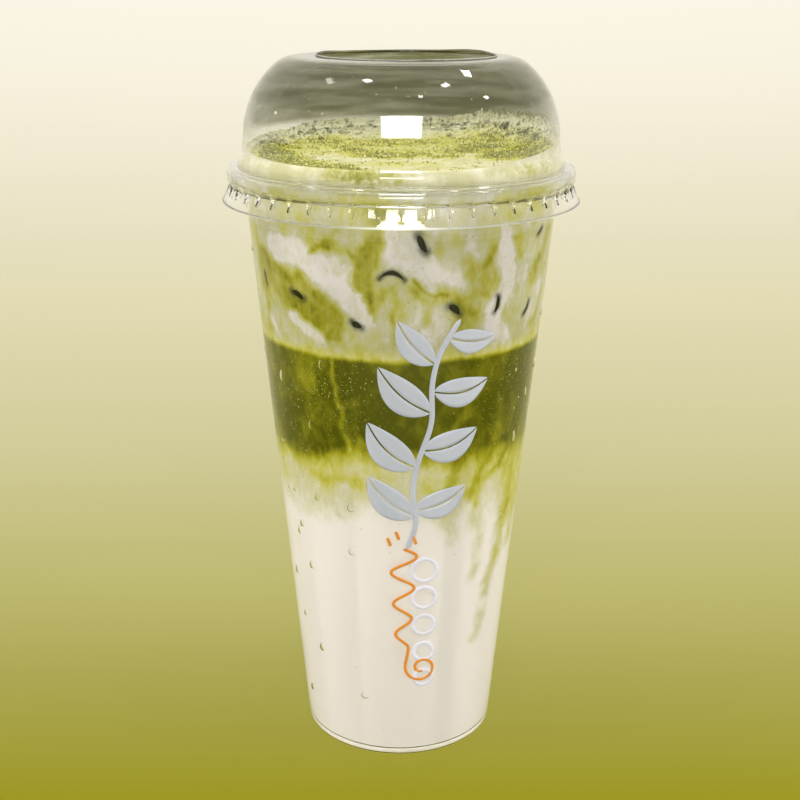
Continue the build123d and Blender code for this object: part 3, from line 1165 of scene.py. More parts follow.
# Clusters of tiny bubbles at the wall of the tea layer, painted golden as painted glints: (angle, level in
# mm, spread in mm, share).
BUBBLE_CLUSTERS = (
    (-31, 120, 5, 3), (-21, 113, 6, 4), (-48, 112, 9, 3), (-66, 114, 6, 2), (-58, 100, 7, 1),
    (46, 119, 6, 4), (54, 112, 6, 2), (62, 102, 6, 2), (30, 106, 8, 1), (-20, 101, 7, 1),
    (110, 116, 12, 3), (150, 110, 14, 3), (-165, 118, 12, 3), (-125, 108, 14, 3), (-95, 116, 10, 2),
)


def wall_bubble_places(count):
    """The tiny bubbles of every cluster, drawn round its middle and kept inside the tea layer."""
    draw = np.random.default_rng(17)
    layer_radius = 39  # in mm, of the wall round the tea layer
    places = []
    for angle, level, spread, share in BUBBLE_CLUSTERS:
        for _ in range(share * count):
            high = draw.normal(level, spread * 0.8) * MM
            turn = math.radians(angle + math.degrees(draw.normal(0, spread) / layer_radius))
            if not MILK_TOP + 6 * MM < high < MATCHA_TOP - 0.5 * MM:
                continue
            radius = inner_radius(high) + 0.2 * MM
            size = draw.choice((0.07, 0.11, 0.17), p=(0.5, 0.38, 0.12)) * MM
            places.append((radius * math.sin(turn), -radius * math.cos(turn), high, size))
    return places


class LATTE_OT_wall_bubbles(bpy.types.Operator):
    """Gather tiny bubbles where the tea layer meets the cup, painted golden as painted glints"""

    bl_idname = "latte.wall_bubbles"
    bl_label = "Wall bubbles"

    def execute(self, context):
        places = wall_bubble_places(context.scene.latte_drink.bubbles)
        # Painted glint: an opaque golden colour stands in for the light each bubble catches.
        shades = ((0.62, 0.58, 0.16), (0.34, 0.32, 0.04))
        painted_glint, _ = mottled_material("bubble with painted glint", 4 * MM, 0.0, (0.35, 0.65), shades, 0.3)
        piece = joined_balls("wall_bubbles", *unit_ball(2), places, painted_glint)
        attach(piece, BODY)
        return {"FINISHED"}


# ---------------------------------------------------------------- the foam

# Level, in mm, at which the foam meets the dome, by the angle from the front.
FOAM_EDGE = (
    (-180, 180.5), (-172, 180.5), (-158, 180.4), (-145, 179.9), (-128, 178.7), (-112, 178.1), (-90, 177.3),
    (-60, 176.4), (-30, 175.7), (0, 175.4), (30, 176.2), (60, 178.2), (90, 181.0), (101, 183.4),
    (119, 184.0), (132, 184.3), (142, 184.4), (148, 183.2), (159, 180.9), (173, 180.5), (180, 180.5),
)


def foam_edge(angle):
    """Level at which the foam's film ends on the dome, a little ragged."""
    angles, levels = zip(*FOAM_EDGE)
    points = np.stack([np.sin(np.radians(angle)), np.cos(np.radians(angle)), 0 * angle], axis=-1)
    ragged = (cloud(points, 0.06, 4) - 0.5) * smoothstep(40, 110, np.abs(angle))
    return (np.interp(angle, angles, levels) + 2.2 * ragged) * MM


def foam_height(x, y):
    """Level of the foam's top: almost flat, then climbing to the dome near the wall."""
    radius = np.hypot(x, y)
    flat = CUP_TOP + 4.5 * MM + 0.022 * y + 0.014 * x - 0.5 * MM * (1 - (radius / (42 * MM)) ** 2)
    climb = smoothstep(31 * MM, 43 * MM, radius) ** 1.6
    edge = foam_edge(np.degrees(np.arctan2(x, -y)))
    return flat + (edge - 1.2 * MM - flat) * climb * 0.55


# Where powder lies on the foam: (x, y, half width, half depth in mm, thickness).
POWDER = (
    (-35, -2, 5, 8, 0.9), (-33, -14, 6, 7, 1.0), (-27, -22, 7, 6, 1.0), (-20, -29, 7, 6, 0.9),
    (-29, 6, 6, 5, 0.55), (-14, -34, 5, 4, 0.5), (-17, 10, 6, 5, 0.6), (-13, 2, 6, 6, 0.8),
    (-8, -7, 6, 5, 1.0), (-1, -6, 6, 4, 0.9), (5, -4, 5, 4, 0.6), (12, -9, 5, 4, 0.6),
    (18, 0, 7, 5, 0.85), (24, 8, 7, 6, 0.8), (26, -12, 5, 6, 0.8), (30, -7, 7, 8, 1.0),
    (35, -2, 6, 9, 1.0), (37, 9, 5, 8, 0.7), (0, 16, 30, 10, 0.40), (-26, 20, 14, 10, 0.46),
    (26, 22, 14, 10, 0.52), (0, -22, 16, 5, 0.24), (0, 2, 40, 12, 0.30), (-12, -40, 14, 3, 0.5),
    (26, -34, 16, 5, 0.22), (38, -16, 6, 10, 0.8), (-38, 8, 6, 10, 0.8), (-34, -10, 8, 10, 0.6),
)


def powder_amount(x, y):
    """How thickly the tea powder lies on the foam."""
    points = np.stack([x, y, 0 * x + 0.2], axis=-1)
    warp_x = 5 * (cloud(points, 6 * MM) - 0.5)
    warp_y = 8 * (cloud(points + 0.3, 7 * MM) - 0.5)
    total = 0.0
    for px, py, wide, deep, amount in POWDER:
        reach = ((x / MM - px + warp_x) / wide) ** 2 + ((y / MM - py + warp_y) / deep) ** 2
        total = np.maximum(total, amount * np.exp(-reach))
    broken = 0.25 + 1.6 * cloud(points, 3.0 * MM, 5)
    return np.clip(total * broken, 0.0, 1.0)


# How finely the foam is divided: sections round it, and rings over its top.
FOAM_SEGMENTS = 420
FOAM_RINGS = 84


def foam_top(sin, cos, edge):
    """Rows of points over the foam's top out to its edge: lumpy, gritty with powder, then frothy."""
    rows = []
    for ring in range(1, FOAM_RINGS + 1):
        radius = edge * (ring / FOAM_RINGS) ** 0.92
        x, y = radius * sin, radius * cos
        place = np.stack([x, y, 0 * x], axis=-1)
        lumps = 0.5 * MM * (cloud(place, 5 * MM) - 0.5)
        grit = 0.9 * MM * powder_amount(x, y) * (cloud(place, 0.9 * MM, 2) - 0.35)
        froth = smoothstep(28 * MM, 44 * MM, radius) * 1.1 * MM * (cloud(place, 1.4 * MM, 2) - 0.5)
        rows.append(np.stack([x, y, foam_height(x, y) + lumps + grit + froth], axis=-1))
    return rows


def foam_film(sin, cos, edge, wall, base, ends):
    """Rows of the pitted film that climbs the dome from the foam's edge to where it ends."""
    rows = []
    for share in np.linspace(0.06, 1, 18):
        radius = edge + (wall - 0.25 * MM - edge) * min(1.0, share * 2.2)
        level = base + (ends - base) * share
        place = np.stack([radius * sin, radius * cos, level], axis=-1)
        pits = 0.5 * MM * (cloud(place, 1.3 * MM, 2) - 0.5)
        radius = radius + pits * (share < 0.97)
        rows.append(np.stack([radius * sin, radius * cos, level], axis=-1))
    return rows


def foam_side(cup, at, top):
    """Radii and levels of the foam's side, from the film's end down the lid and the cup's wall."""
    dome = at["dome"] - cup.lid_wall + LID_REACH
    band = at["band"] - cup.lid_wall + LID_REACH
    step_top = at["valley"] + 3.9 * MM
    side = [(dome, top + 0.02 * MM)]
    for share in (0.75, 0.5, 0.25):
        level = step_top + 0.3 * MM + (top - step_top - 0.3 * MM) * share
        side.append((dome, np.maximum(level, step_top + 0.1 * MM * (1 + share))))
    side += [
        (at["step"] - cup.lid_wall + LID_REACH, step_top - 0.1 * MM),
        (band, at["valley"] + 2.4 * MM),
        (band, at["valley"] + 0.2 * MM),
        (inner_radius(CUP_TOP - cup.curl) + 0.3 * MM, CUP_TOP - 0.5 * MM),
    ]
    for level in np.linspace(CUP_TOP - cup.curl, MARBLED_TOP, 26):
        side.append((inner_radius(level) + WALL_REACH, level))
    return side


def capped_rows(rows, middle, under):
    """Points and faces of rows that run from round one point down to round another."""
    segments = len(rows[0])
    faces = []
    for row in range(len(rows) - 1):
        here, there = row * segments, (row + 1) * segments
        for turn in range(segments):
            after = (turn + 1) % segments
            faces.append((here + turn, there + turn, there + after, here + after))
    first, last = len(rows) * segments, (len(rows) - 1) * segments
    for turn in range(segments):
        after = (turn + 1) % segments
        faces.append((first, turn, after))
        faces.append((first + 1, last + after, last + turn))
    return np.vstack([*rows, [middle], [under]]), faces


def foam_values(points):
    """What the foam's material reads at each point, by the name it is stored under."""
    on_top = np.arange(len(points)) < FOAM_RINGS * FOAM_SEGMENTS
    x, y, level = points[:, 0], points[:, 1], points[:, 2]
    angle = round_the_cup(points)
    brim = 0.6 * np.exp(-(((angle + 12) / 14) ** 2)) + 0.22 * np.exp(-(((angle - 48) / 20) ** 2))
    brim = brim * np.exp(-(((level - CUP_TOP - 3.4 * MM) / (1.7 * MM)) ** 2))
    brim = brim * (0.3 + 1.3 * cloud(points + 0.4, 3 * MM, 4))
    cleared = smoothstep(CUP_TOP - 1 * MM, CUP_TOP + 1.5 * MM, level)
    froth = smoothstep(-20 * MM, 24 * MM, y) * smoothstep(33 * MM, 42 * MM, np.hypot(x, y))
    froth = np.maximum(froth, smoothstep(CUP_TOP + 7 * MM, CUP_TOP + 9 * MM, level))
    return {
        "powder": np.where(on_top, powder_amount(x, y), brim),
        "tea": tea_amount(points),
        "shade": painted_halo_and_ice_shade(points),
        # side: 1 on the front of the foam's side, where shade is painted.
        "side": np.where(on_top, 0.0, smoothstep(20 * MM, -10 * MM, y)),
        "top": np.where(on_top, 1.0, cleared),
        "froth": np.where(level > CUP_TOP + 4 * MM, froth, 0.0),
    }


def foam_cream(tree, colours):
    """Cream foam, paler in patches and painted darker on the front of its side as painted shade, that gives
    way to the drink's colours under the rim.
    """
    flow = place_group(tree, flow_group(), {"Size": 8 * MM, "Stretch": 1.0, "Twist": 1.2})["Flow"]
    patch = mask(tree, flow, 0.35, 0.65)
    top = mix_colour(tree, patch, colours.cream, (0.70, 0.67, 0.46))
    # Painted shade: the front of the foam's side has darker shades than its top.
    side = mix_colour(tree, patch, (0.46, 0.44, 0.24), (0.60, 0.58, 0.43))
    cream = mix_colour(tree, stored(tree, "side"), top, side)
    drink = place_group(
        tree, milk_and_tea_group(),
        {"Tea": stored(tree, "tea"), "Shade": stored(tree, "shade"), "Specks": 0.22, "Mottle": 0.24},
    )
    return mix_colour(tree, stored(tree, "top"), drink["Color"], cream)


def powdered(tree, colours, colour):
    """The colour under tea powder: yellow where it is thin, green where thick, with dark grains; thin powder
    on the front of the foam's side is painted darker as painted shade.
    """
    dust = place_group(
        tree, specks_group(), {"Spacing": 0.55 * MM, "Share": 0.8, "Size": 0.30, "Softness": 0.2}
    )
    powder = stored(tree, "powder")
    grit = place_group(tree, flow_group(), {"Size": 1.3 * MM, "Stretch": 1.0, "Twist": 0.3})["Flow"]
    uneven = math_node(tree, "MULTIPLY", math_node(tree, "SUBTRACT", grit, 0.5), 1.5)
    rough_powder = math_node(tree, "ADD", powder, uneven)
    rough_powder = math_node(tree, "MULTIPLY", rough_powder, mask(tree, powder, 0.02, 0.2))
    thin = mask(tree, rough_powder, 0.02, 0.38)
    # Painted shade: thin powder on the front of the foam's side is darker.
    thin_powder = mix_colour(tree, stored(tree, "side"), (0.54, 0.51, 0.045), (0.33, 0.315, 0.06))
    colour = mix_colour(tree, thin, colour, thin_powder)
    thick = mask(tree, rough_powder, 0.36, 0.80)
    colour = mix_colour(tree, thick, colour, colours.powder)
    grains = math_node(tree, "MULTIPLY", thick, dust["Mask"])
    shades = mix_colour(tree, dust["Shade"], (0.050, 0.055, 0.001), (0.30, 0.285, 0.012))
    colour = mix_colour(tree, grains, colour, shades)
    specks = place_group(
        tree, specks_group(), {"Spacing": 1.1 * MM, "Share": 0.34, "Size": 0.10, "Softness": 0.1}
    )
    return mix_colour(tree, math_node(tree, "MULTIPLY", specks["Mask"], 0.7), colour, (0.24, 0.22, 0.03))


def froth_pits(tree, froth):
    """A mask of the open pits, small and large, where the foam froths, which painted shade darkens."""
    dense = place_group(tree, flow_group(), {"Size": 5 * MM, "Stretch": 0.8, "Twist": 0.6})["Flow"]
    small = place_group(
        tree, specks_group(), {"Spacing": 0.85 * MM, "Share": 0.9, "Size": 0.32, "Softness": 0.2}
    )
    large = place_group(
        tree, specks_group(), {"Spacing": 1.7 * MM, "Share": 0.6, "Size": 0.27, "Softness": 0.12}
    )
    pits = math_node(tree, "MAXIMUM", math_node(tree, "MULTIPLY", small["Mask"], 0.7), large["Mask"])
    pits = math_node(tree, "MULTIPLY", pits, mask(tree, dense, 0.24, 0.46))
    return math_node(tree, "MULTIPLY", pits, froth)


def foam_material():
    """Cream foam: powder where it is stored, pits darkened with painted shade where it froths, tea where it
    meets the drink.
    """
    colours = bpy.context.scene.latte_foam
    material, shader = new_material("foam")
    tree = material.node_tree
    colour = powdered(tree, colours, foam_cream(tree, colours))
    froth = mask(tree, stored(tree, "froth"), 0.05, 0.7)
    colour = mix_colour(tree, math_node(tree, "MULTIPLY", froth, 0.55), colour, (0.58, 0.57, 0.40))
    pits = froth_pits(tree, froth)
    # Painted shade: the open pits are darkened towards near black.
    colour = mix_colour(tree, math_node(tree, "MULTIPLY", pits, 0.8), colour, (0.085, 0.088, 0.05))
    tree.links.new(colour, shader.inputs["Base Color"])
    rough = add_node(tree, "MapRange", {"Value": stored(tree, "powder"), "To Min": 0.42, "To Max": 0.85})
    tree.links.new(rough.outputs["Result"], shader.inputs["Roughness"])
    fine = place_group(tree, flow_group(), {"Size": 0.9 * MM, "Stretch": 1.0, "Twist": 0.0})["Flow"]
    height = math_node(tree, "SUBTRACT", fine, math_node(tree, "MULTIPLY", pits, 1.5))
    add_bump(tree, shader, height, 0.5, 0.25 * MM)
    return material


class LATTE_OT_foam(bpy.types.Operator):
    """Lay the foam cap, dished and tilted, with a film that climbs the dome at the back"""

    bl_idname = "latte.foam"
    bl_label = "Foam"

    def execute(self, context):
        cup = context.scene.latte_cup
        at = lid_levels(cup)
        turns = np.arange(FOAM_SEGMENTS) * 2 * math.pi / FOAM_SEGMENTS
        sin, cos = np.sin(turns), -np.cos(turns)
        ends = foam_edge((np.degrees(turns) + 180) % 360 - 180)
        wall = at["dome"] - cup.lid_wall
        edge = wall - 1.3 * MM
        rows = foam_top(sin, cos, edge)
        rows += foam_film(sin, cos, edge, wall, rows[-1][:, 2], ends)
        for radius, level in foam_side(cup, at, rows[-1][:, 2]):
            rows.append(np.stack([radius * sin, radius * cos, level + 0 * sin], axis=-1))
        points, faces = capped_rows(rows, (0, 0, foam_height(0.0, 0.0)), (0, 0, MARBLED_TOP))
        piece = mesh_object("foam_cap", points, faces, foam_material())
        for name, values in foam_values(points).items():
            add_values(piece, name, values)
        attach(piece, BODY)
        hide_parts("foam")
        return {"FINISHED"}


class LATTE_OT_powder(bpy.types.Operator):
    """Scatter loose grains of tea powder over the foam"""

    bl_idname = "latte.powder"
    bl_label = "Powder"

    def execute(self, context):
        foam = context.scene.latte_foam
        draw = np.random.default_rng(3)
        # Each grain is an uneven solid with six corners and eight sides.
        corners = np.array([(1, 0, 0), (-1, 0, 0), (0, 1, 0), (0, -1, 0), (0, 0, 1), (0, 0, -1)], float)
        sides = [(0, 2, 4), (2, 1, 4), (1, 3, 4), (3, 0, 4), (2, 0, 5), (1, 2, 5), (3, 1, 5), (0, 3, 5)]
        x, y = draw.uniform(-41, 41, (2, foam.grains * 24)) * MM
        chance = powder_amount(x, y)
        kept = (np.hypot(x, y) < 41 * MM) & (draw.random(len(x)) < 0.012 + chance**2)
        x, y, chance = (values[kept][: foam.grains] for values in (x, y, chance))
        size = draw.uniform(0.09, 0.28, (len(x), 1, 1)) * MM
        shape = corners * draw.uniform(0.6, 1.2, (len(x), 6, 1)) * size
        level = foam_height(x, y) + 0.05 * MM + 0.25 * MM * chance
        middle = np.stack([x, y, level], axis=-1)
        points = (shape + middle[:, None, :]).reshape(-1, 3)
        faces = [tuple(start + i for i in side) for start in range(0, len(points), 6) for side in sides]
        shades = np.repeat(draw.random(len(x)), 6)
        material, shader = new_material("powder grain")
        tree = material.node_tree
        colour = ramp(tree, stored(tree, "shade"), (
            (0.0, (0.07, 0.078, 0.003)),
            (0.6, tuple(foam.powder)),
            (0.85, (0.55, 0.52, 0.08)),
            (1.0, (0.85, 0.82, 0.50)),
        ))
        tree.links.new(colour, shader.inputs["Base Color"])
        shader.inputs["Roughness"].default_value = 0.8
        piece = mesh_object("powder_grains", points, faces, material, smooth=False)
        add_values(piece, "shade", shades)
        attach(piece, BODY)
        return {"FINISHED"}


def bubble_places(draw, wall, count):
    """Froth bubbles on the foam, most of them at the back beside the dome's wall."""
    places = []
    while len(places) < count:
        angle = math.radians(draw.uniform(-180, 180))
        radius = wall - draw.exponential(3.5) * MM - 0.8 * MM
        at_back = 0.5 - 0.5 * math.cos(angle)
        if radius < 20 * MM or draw.random() > 0.08 + at_back**2:
            continue
        x, y = radius * math.sin(angle), -radius * math.cos(angle)
        size = draw.choice((0.3, 0.4, 0.55, 0.8), p=(0.4, 0.35, 0.18, 0.07)) * MM
        places.append((x, y, float(foam_height(x, y)) + 0.1 * MM, size * draw.uniform(0.8, 1.2)))
    return places


def splash_places(draw, cup, count):
    """Specks of foam on the inside of the dome's side, most of them low."""
    at = lid_levels(cup)
    shoulder = shoulder_radius(at)
    inside = shoulder - cup.lid_wall - 0.05 * MM
    places = []
    while len(places) < count:
        angle = math.radians(draw.uniform(-180, 180))
        lean = math.radians(draw.triangular(2, 8, 46))
        radius = at["dome"] - shoulder + inside * math.cos(lean)
        level = at["shoulder"] + inside * math.sin(lean)
        size = draw.choice((0.12, 0.18, 0.28, 0.45), p=(0.4, 0.35, 0.2, 0.05)) * MM
        places.append((radius * math.sin(angle), -radius * math.cos(angle), level, size))
    return places


class LATTE_OT_bubbles(bpy.types.Operator):
    """Blow the bubbles along the foam's edge and the specks inside the dome"""

    bl_idname = "latte.bubbles"
    bl_label = "Bubbles and splashes"

    def execute(self, context):
        foam = context.scene.latte_foam
        cup = context.scene.latte_cup
        draw = np.random.default_rng(14)
        places = bubble_places(draw, lid_levels(cup)["dome"] - cup.lid_wall, foam.bubbles)
        clear, shader = new_material("bubble film")
        shader.inputs["Base Color"].default_value = (0.92, 0.93, 0.82, 1.0)
        shader.inputs["Transmission Weight"].default_value = 1.0
        shader.inputs["IOR"].default_value = 1.2
        shader.inputs["Roughness"].default_value = 0.05
        height = place_group(clear.node_tree, ripple_group(), {"Size": 1 * MM, "Lines": 0.2})["Height"]
        add_bump(clear.node_tree, shader, height, 0.2, 0.05 * MM)
        piece = joined_balls("foam_bubbles", *unit_ball(4), places, clear)
        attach(piece, BODY)

        places = splash_places(draw, cup, foam.splashes)
        shades = ((0.80, 0.78, 0.60), (0.55, 0.52, 0.18))
        cream, _ = mottled_material("foam splash", 2 * MM, 0.0, (0.3, 0.7), shades, 0.25)
        piece = joined_balls("foam_splashes", *unit_ball(2), places, cream)
        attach(piece, BODY)
        return {"FINISHED"}


# ---------------------------------------------------------------- water and print

# Drops at the front: (angle, level, half width, half height), the last three in mm.
FRONT_DROPS = (
    (-40.3, 82.7, 0.8, 1.1), (-22.2, 81.8, 1.0, 1.2), (-53.8, 71.8, 0.8, 1.0), (-22.9, 67.9, 0.9, 1.0),
    (-49.0, 59.3, 0.8, 1.1), (-61.5, 40.3, 0.6, 0.8), (-47.0, 32.2, 0.9, 1.2), (-19.4, 20.2, 1.0, 1.1),
    (-57.4, 116.5, 0.8, 1.5), (-31.9, 123.2, 0.9, 1.4), (-40.4, 104.6, 0.6, 1.2), (58.4, 98.4, 0.8, 1.6),
    (54.8, 74.2, 0.8, 1.2), (66.3, 110.4, 0.6, 1.3),
)


def drop_places(large, small):
    """Angle, level, half width and half height of every drop; few lie on the print."""
    draw = np.random.default_rng(9)
    places = [(angle, level * MM, wide * MM, tall * MM) for angle, level, wide, tall in FRONT_DROPS]
    for _ in range(large):
        angle = draw.uniform(-180, 180)
        if abs(angle) < 50:
            continue
        wide = draw.uniform(0.35, 0.95) * MM
        places.append((angle, draw.uniform(12, 152) * MM, wide, wide * draw.uniform(1.0, 1.9)))
    for _ in range(small):
        angle = draw.uniform(-180, 180)
        level = draw.triangular(70, 112, 150) * MM
        if abs(angle) < 16 or (abs(angle) < 30 and draw.random() < 0.5):
            continue
        wide = draw.choice((0.1, 0.16, 0.26), p=(0.5, 0.35, 0.15)) * MM
        places.append((angle, level, wide, wide * draw.uniform(0.9, 1.4)))
    return places


def drop_shape(ball, angle, level, wide, tall):
    """A ball flattened against the cup's wall as a drop, fuller below."""
    centre = on_the_cup(angle, level, -0.02 * MM)
    out = Vector((centre.x, centre.y, 0)).normalized()
    side = Vector((-out.y, out.x, 0))
    sag = 1 - 0.22 * ball[:, 2]
    shape = np.stack([ball[:, 0] * sag, ball[:, 1] * (0.9 + 0.35 * sag), ball[:, 2]], axis=-1)
    size = np.array([wide * 1.15, wide * 0.32, tall * 1.12])
    axes = np.array([side, out, (0, 0, 1)])
    return (shape * size) @ axes + np.array(centre)


class LATTE_OT_droplets(bpy.types.Operator):
    """Settle water droplets on the outside of the cup"""

    bl_idname = "latte.droplets"
    bl_label = "Droplets"

    def execute(self, context):
        settings = context.scene.latte_droplets
        fine, coarse = unit_ball(4), unit_ball(2)
        points, faces = [], []
        for angle, level, wide, tall in drop_places(settings.large, settings.small):
            ball, ball_faces = fine if wide > 0.3 * MM else coarse
            start = len(points)
            points.extend(drop_shape(ball, angle, level, wide, tall))
            faces.extend(tuple(start + i for i in face) for face in ball_faces)
        water, shader = new_material("water drop")
        shader.inputs["Base Color"].default_value = (1.0, 1.0, 1.0, 1.0)
        shader.inputs["Transmission Weight"].default_value = 1.0
        shader.inputs["IOR"].default_value = 1.22
        shader.inputs["Roughness"].default_value = 0.0
        height = place_group(water.node_tree, ripple_group(), {"Size": 2 * MM, "Lines": 0.0})["Height"]
        add_bump(water.node_tree, shader, height, 0.1, 0.05 * MM)
        piece = mesh_object("water_drops", points, faces, water)
        piece.visible_shadow = False
        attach(piece, BODY)
        return {"FINISHED"}


def ribbon(path, half_widths, across=4):
    """Points (x, z) and faces of a flat ribbon along a path, with its own half width at each point."""
    path = np.asarray(path, float)
    widths = np.asarray(half_widths, float)
    along = np.gradient(path, axis=0)
    along /= np.maximum(np.linalg.norm(along, axis=1), 1e-9)[:, None]
    normal = np.stack([-along[:, 1], along[:, 0]], axis=1)
    shares = np.linspace(-1, 1, across + 1)
    points = (path[:, None, :] + normal[:, None, :] * widths[:, None, None] * shares[None, :, None])
    points = points.reshape(-1, 2)
    faces = []
    for step in range(len(path) - 1):
        for cell in range(across):
            here = step * (across + 1) + cell
            faces.append((here, here + 1, here + across + 2, here + across + 1))
    return points, faces


def leaf(foot, tip, width, bend, side):
    """One half of a pointed leaf beside its midrib: side is 1 or -1."""
    foot, tip = np.array(foot, float), np.array(tip, float)
    along = tip - foot
    normal = np.array([-along[1], along[0]]) / np.hypot(*along)
    shares = np.linspace(0, 1, 19)
    spine = [foot + along * s + normal * bend * math.sin(math.pi * s) for s in shares]
    profile = [width * (math.sin(math.pi * s**0.85)) ** 0.9 for s in shares]
    gap = 0.22
    middle = [p + normal * side * (gap + w / 2) for p, w in zip(spine, profile)]
    return ribbon(middle, [max(w / 2, 0.02) for w in profile])


def stalk(points, width):
    """A smooth round-ended line through a few points, all in mm."""
    points = np.asarray(points, float)
    places = np.linspace(0, len(points) - 1, (len(points) - 1) * 8 + 1)
    line = np.stack([np.interp(places, np.arange(len(points)), points[:, i]) for i in (0, 1)], axis=-1)
    # A long line has its points closer together, so it takes more rounds to smooth.
    rounds = 14 if len(points) < 20 else 60
    for _ in range(rounds):
        line[1:-1] = line[1:-1] * 0.5 + (line[:-2] + line[2:]) * 0.25
    run = np.concatenate([[0], np.cumsum(np.hypot(*np.diff(line, axis=0).T))])
    end = np.minimum(run, run[-1] - run)
    widths = width * np.sqrt(np.clip(1 - (1 - np.clip(end / width, 0, 1)) ** 2, 0.02, 1))
    return ribbon(line, widths, 2)


def print_on_cup(name, shapes, material, thickness):
    """Wraps flat shapes, in mm across and up the front, round the cup as thin ink."""
    points, faces = [], []
    for flat, cells in shapes:
        start = len(points)
        for x, z in flat:
            radius = inner_radius(z * MM) + bpy.context.scene.latte_cup.wall
            points.append(on_the_cup(math.degrees(x * MM / radius), z * MM, 0.01 * MM))
        faces.extend(tuple(start + i for i in cell) for cell in cells)
    piece = mesh_object(name, points, faces, material)
    skin = piece.modifiers.new("ink", "SOLIDIFY")
    skin.thickness = thickness
    skin.offset = 1.0
    depsgraph = bpy.context.evaluated_depsgraph_get()
    solid = bpy.data.meshes.new_from_object(piece.evaluated_get(depsgraph))
    piece.modifiers.clear()
    piece.data = solid
    piece.visible_shadow = False
    return piece


def ink_material(name, colour, roughness):
    """Printed ink with a faint mottle."""
    material, shader = new_material(name)
    tree = material.node_tree
    flow = place_group(tree, flow_group(), {"Size": 7 * MM, "Stretch": 0.6, "Twist": 0.4})["Flow"]
    dim = tuple(c * 0.9 for c in colour)
    mottle = mix_colour(tree, mask(tree, flow, 0.3, 0.7), tuple(colour), dim)
    tree.links.new(mottle, shader.inputs["Base Color"])
    shader.inputs["Roughness"].default_value = roughness
    add_bump(tree, shader, flow, 0.1, 0.1 * MM)
    return material


def sprig():
    """A leaning stem with eight leaves, each in two halves."""
    stem = [(2, 70), (5, 78), (3, 88), (5, 98), (9, 108), (8, 118), (10, 128), (16, 137)]
    shapes = [stalk(stem, 0.75)]
    leaves = (
        ((4, 80), (-9, 92), 4.2, 1.5),
        ((4, 82), (19, 88), 4.0, -1.5),
        ((4, 95), (-9, 108), 4.6, 1.8),
        ((6, 100), (22, 105), 4.4, -1.8),
        ((8, 111), (-6, 124), 4.4, 1.6),
        ((9, 117), (25, 119), 4.0, -1.8),
        ((9, 125), (-1, 137), 3.6, 1.2),
        ((13, 132), (27, 131), 3.2, -1.2),
    )
    for foot, tip, width, bend in leaves:
        for side in (1, -1):
            shapes.append(leaf(foot, tip, width, bend, side))
    return shapes


def rings():
    """Five rings below the sprig that get smaller down the cup."""
    shapes = []
    turns = np.linspace(0, 2 * math.pi, 41)
    for number in range(5):
        middle, size = 63 - number * 9, 3.6 - 0.25 * number
        path = [(7 + size * math.cos(t), middle + size * math.sin(t)) for t in turns]
        shapes.append(ribbon(path, [0.6] * len(path), 2))
    return shapes


def tendril():
    """A line that waves down beside the rings and ends in a curl, with three dashes over it."""
    waves = [(1 + 4.0 * math.sin(s * 0.62) * (1 - s / 60), 70 - s) for s in np.linspace(0, 32.5, 80)]
    curl = []
    for share in np.linspace(0, 1, 26):
        turn, size = math.radians(150 + 500 * share), 5.2 * (1 - 0.8 * share)
        curl.append((6.5 + size * math.cos(turn), 30.5 + size * math.sin(turn)))
    shapes = [stalk(waves + curl, 0.42)]
    for x, z in ((-3.5, 73.5), (-1.2, 75.5), (3.6, 74.0)):
        shapes.append(stalk([(x, z), (x + 0.5, z - 1.2), (x + 1.0, z - 2.6)], 0.45))
    return shapes


class LATTE_OT_print(bpy.types.Operator):
    """Print the tea sprig, the rings and the tendril up the front of the cup"""

    bl_idname = "latte.print"
    bl_label = "Print"

    def execute(self, context):
        ink = context.scene.latte_print
        piece = print_on_cup("white_sprig", sprig(), ink_material("white ink", ink.white, 0.4), ink.thickness)
        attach(piece, BODY)

        piece = print_on_cup("pale_rings", rings(), ink_material("pale ink", ink.pale, 0.4), ink.thickness)
        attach(piece, BODY)

        orange = ink_material("orange ink", ink.orange, 0.35)
        piece = print_on_cup("orange_tendril", tendril(), orange, ink.thickness * 1.6)
        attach(piece, BODY)
        return {"FINISHED"}


# ---------------------------------------------------------------- stage


def soft_lamp(name, place, target, size, watts):
    """A rectangular softbox that looks at a point."""
    light = bpy.data.lights.new(name, "AREA")
    light.shape = "RECTANGLE"
    light.size, light.size_y = size
    light.energy = watts
    lamp = bpy.data.objects.new(name, light)
    lamp.location = place
    lamp.rotation_euler = (Vector(target) - Vector(place)).to_track_quat("-Z", "Y").to_euler()
    bpy.context.scene.collection.objects.link(lamp)
    return lamp


def seen_share(tree):
    """1 for the rays that show a thing, straight, mirrored or through plastic, and 0 for those that light."""
    rays = add_node(tree, "LightPath").outputs
    seen = math_node(tree, "MAXIMUM", rays["Is Camera Ray"], rays["Is Glossy Ray"])
    return math_node(tree, "MAXIMUM", seen, rays["Is Transmission Ray"])


# Depths, along Y, between which the card fades from olive to cream.
FADE_FROM, FADE_TO = -0.10, 1.60


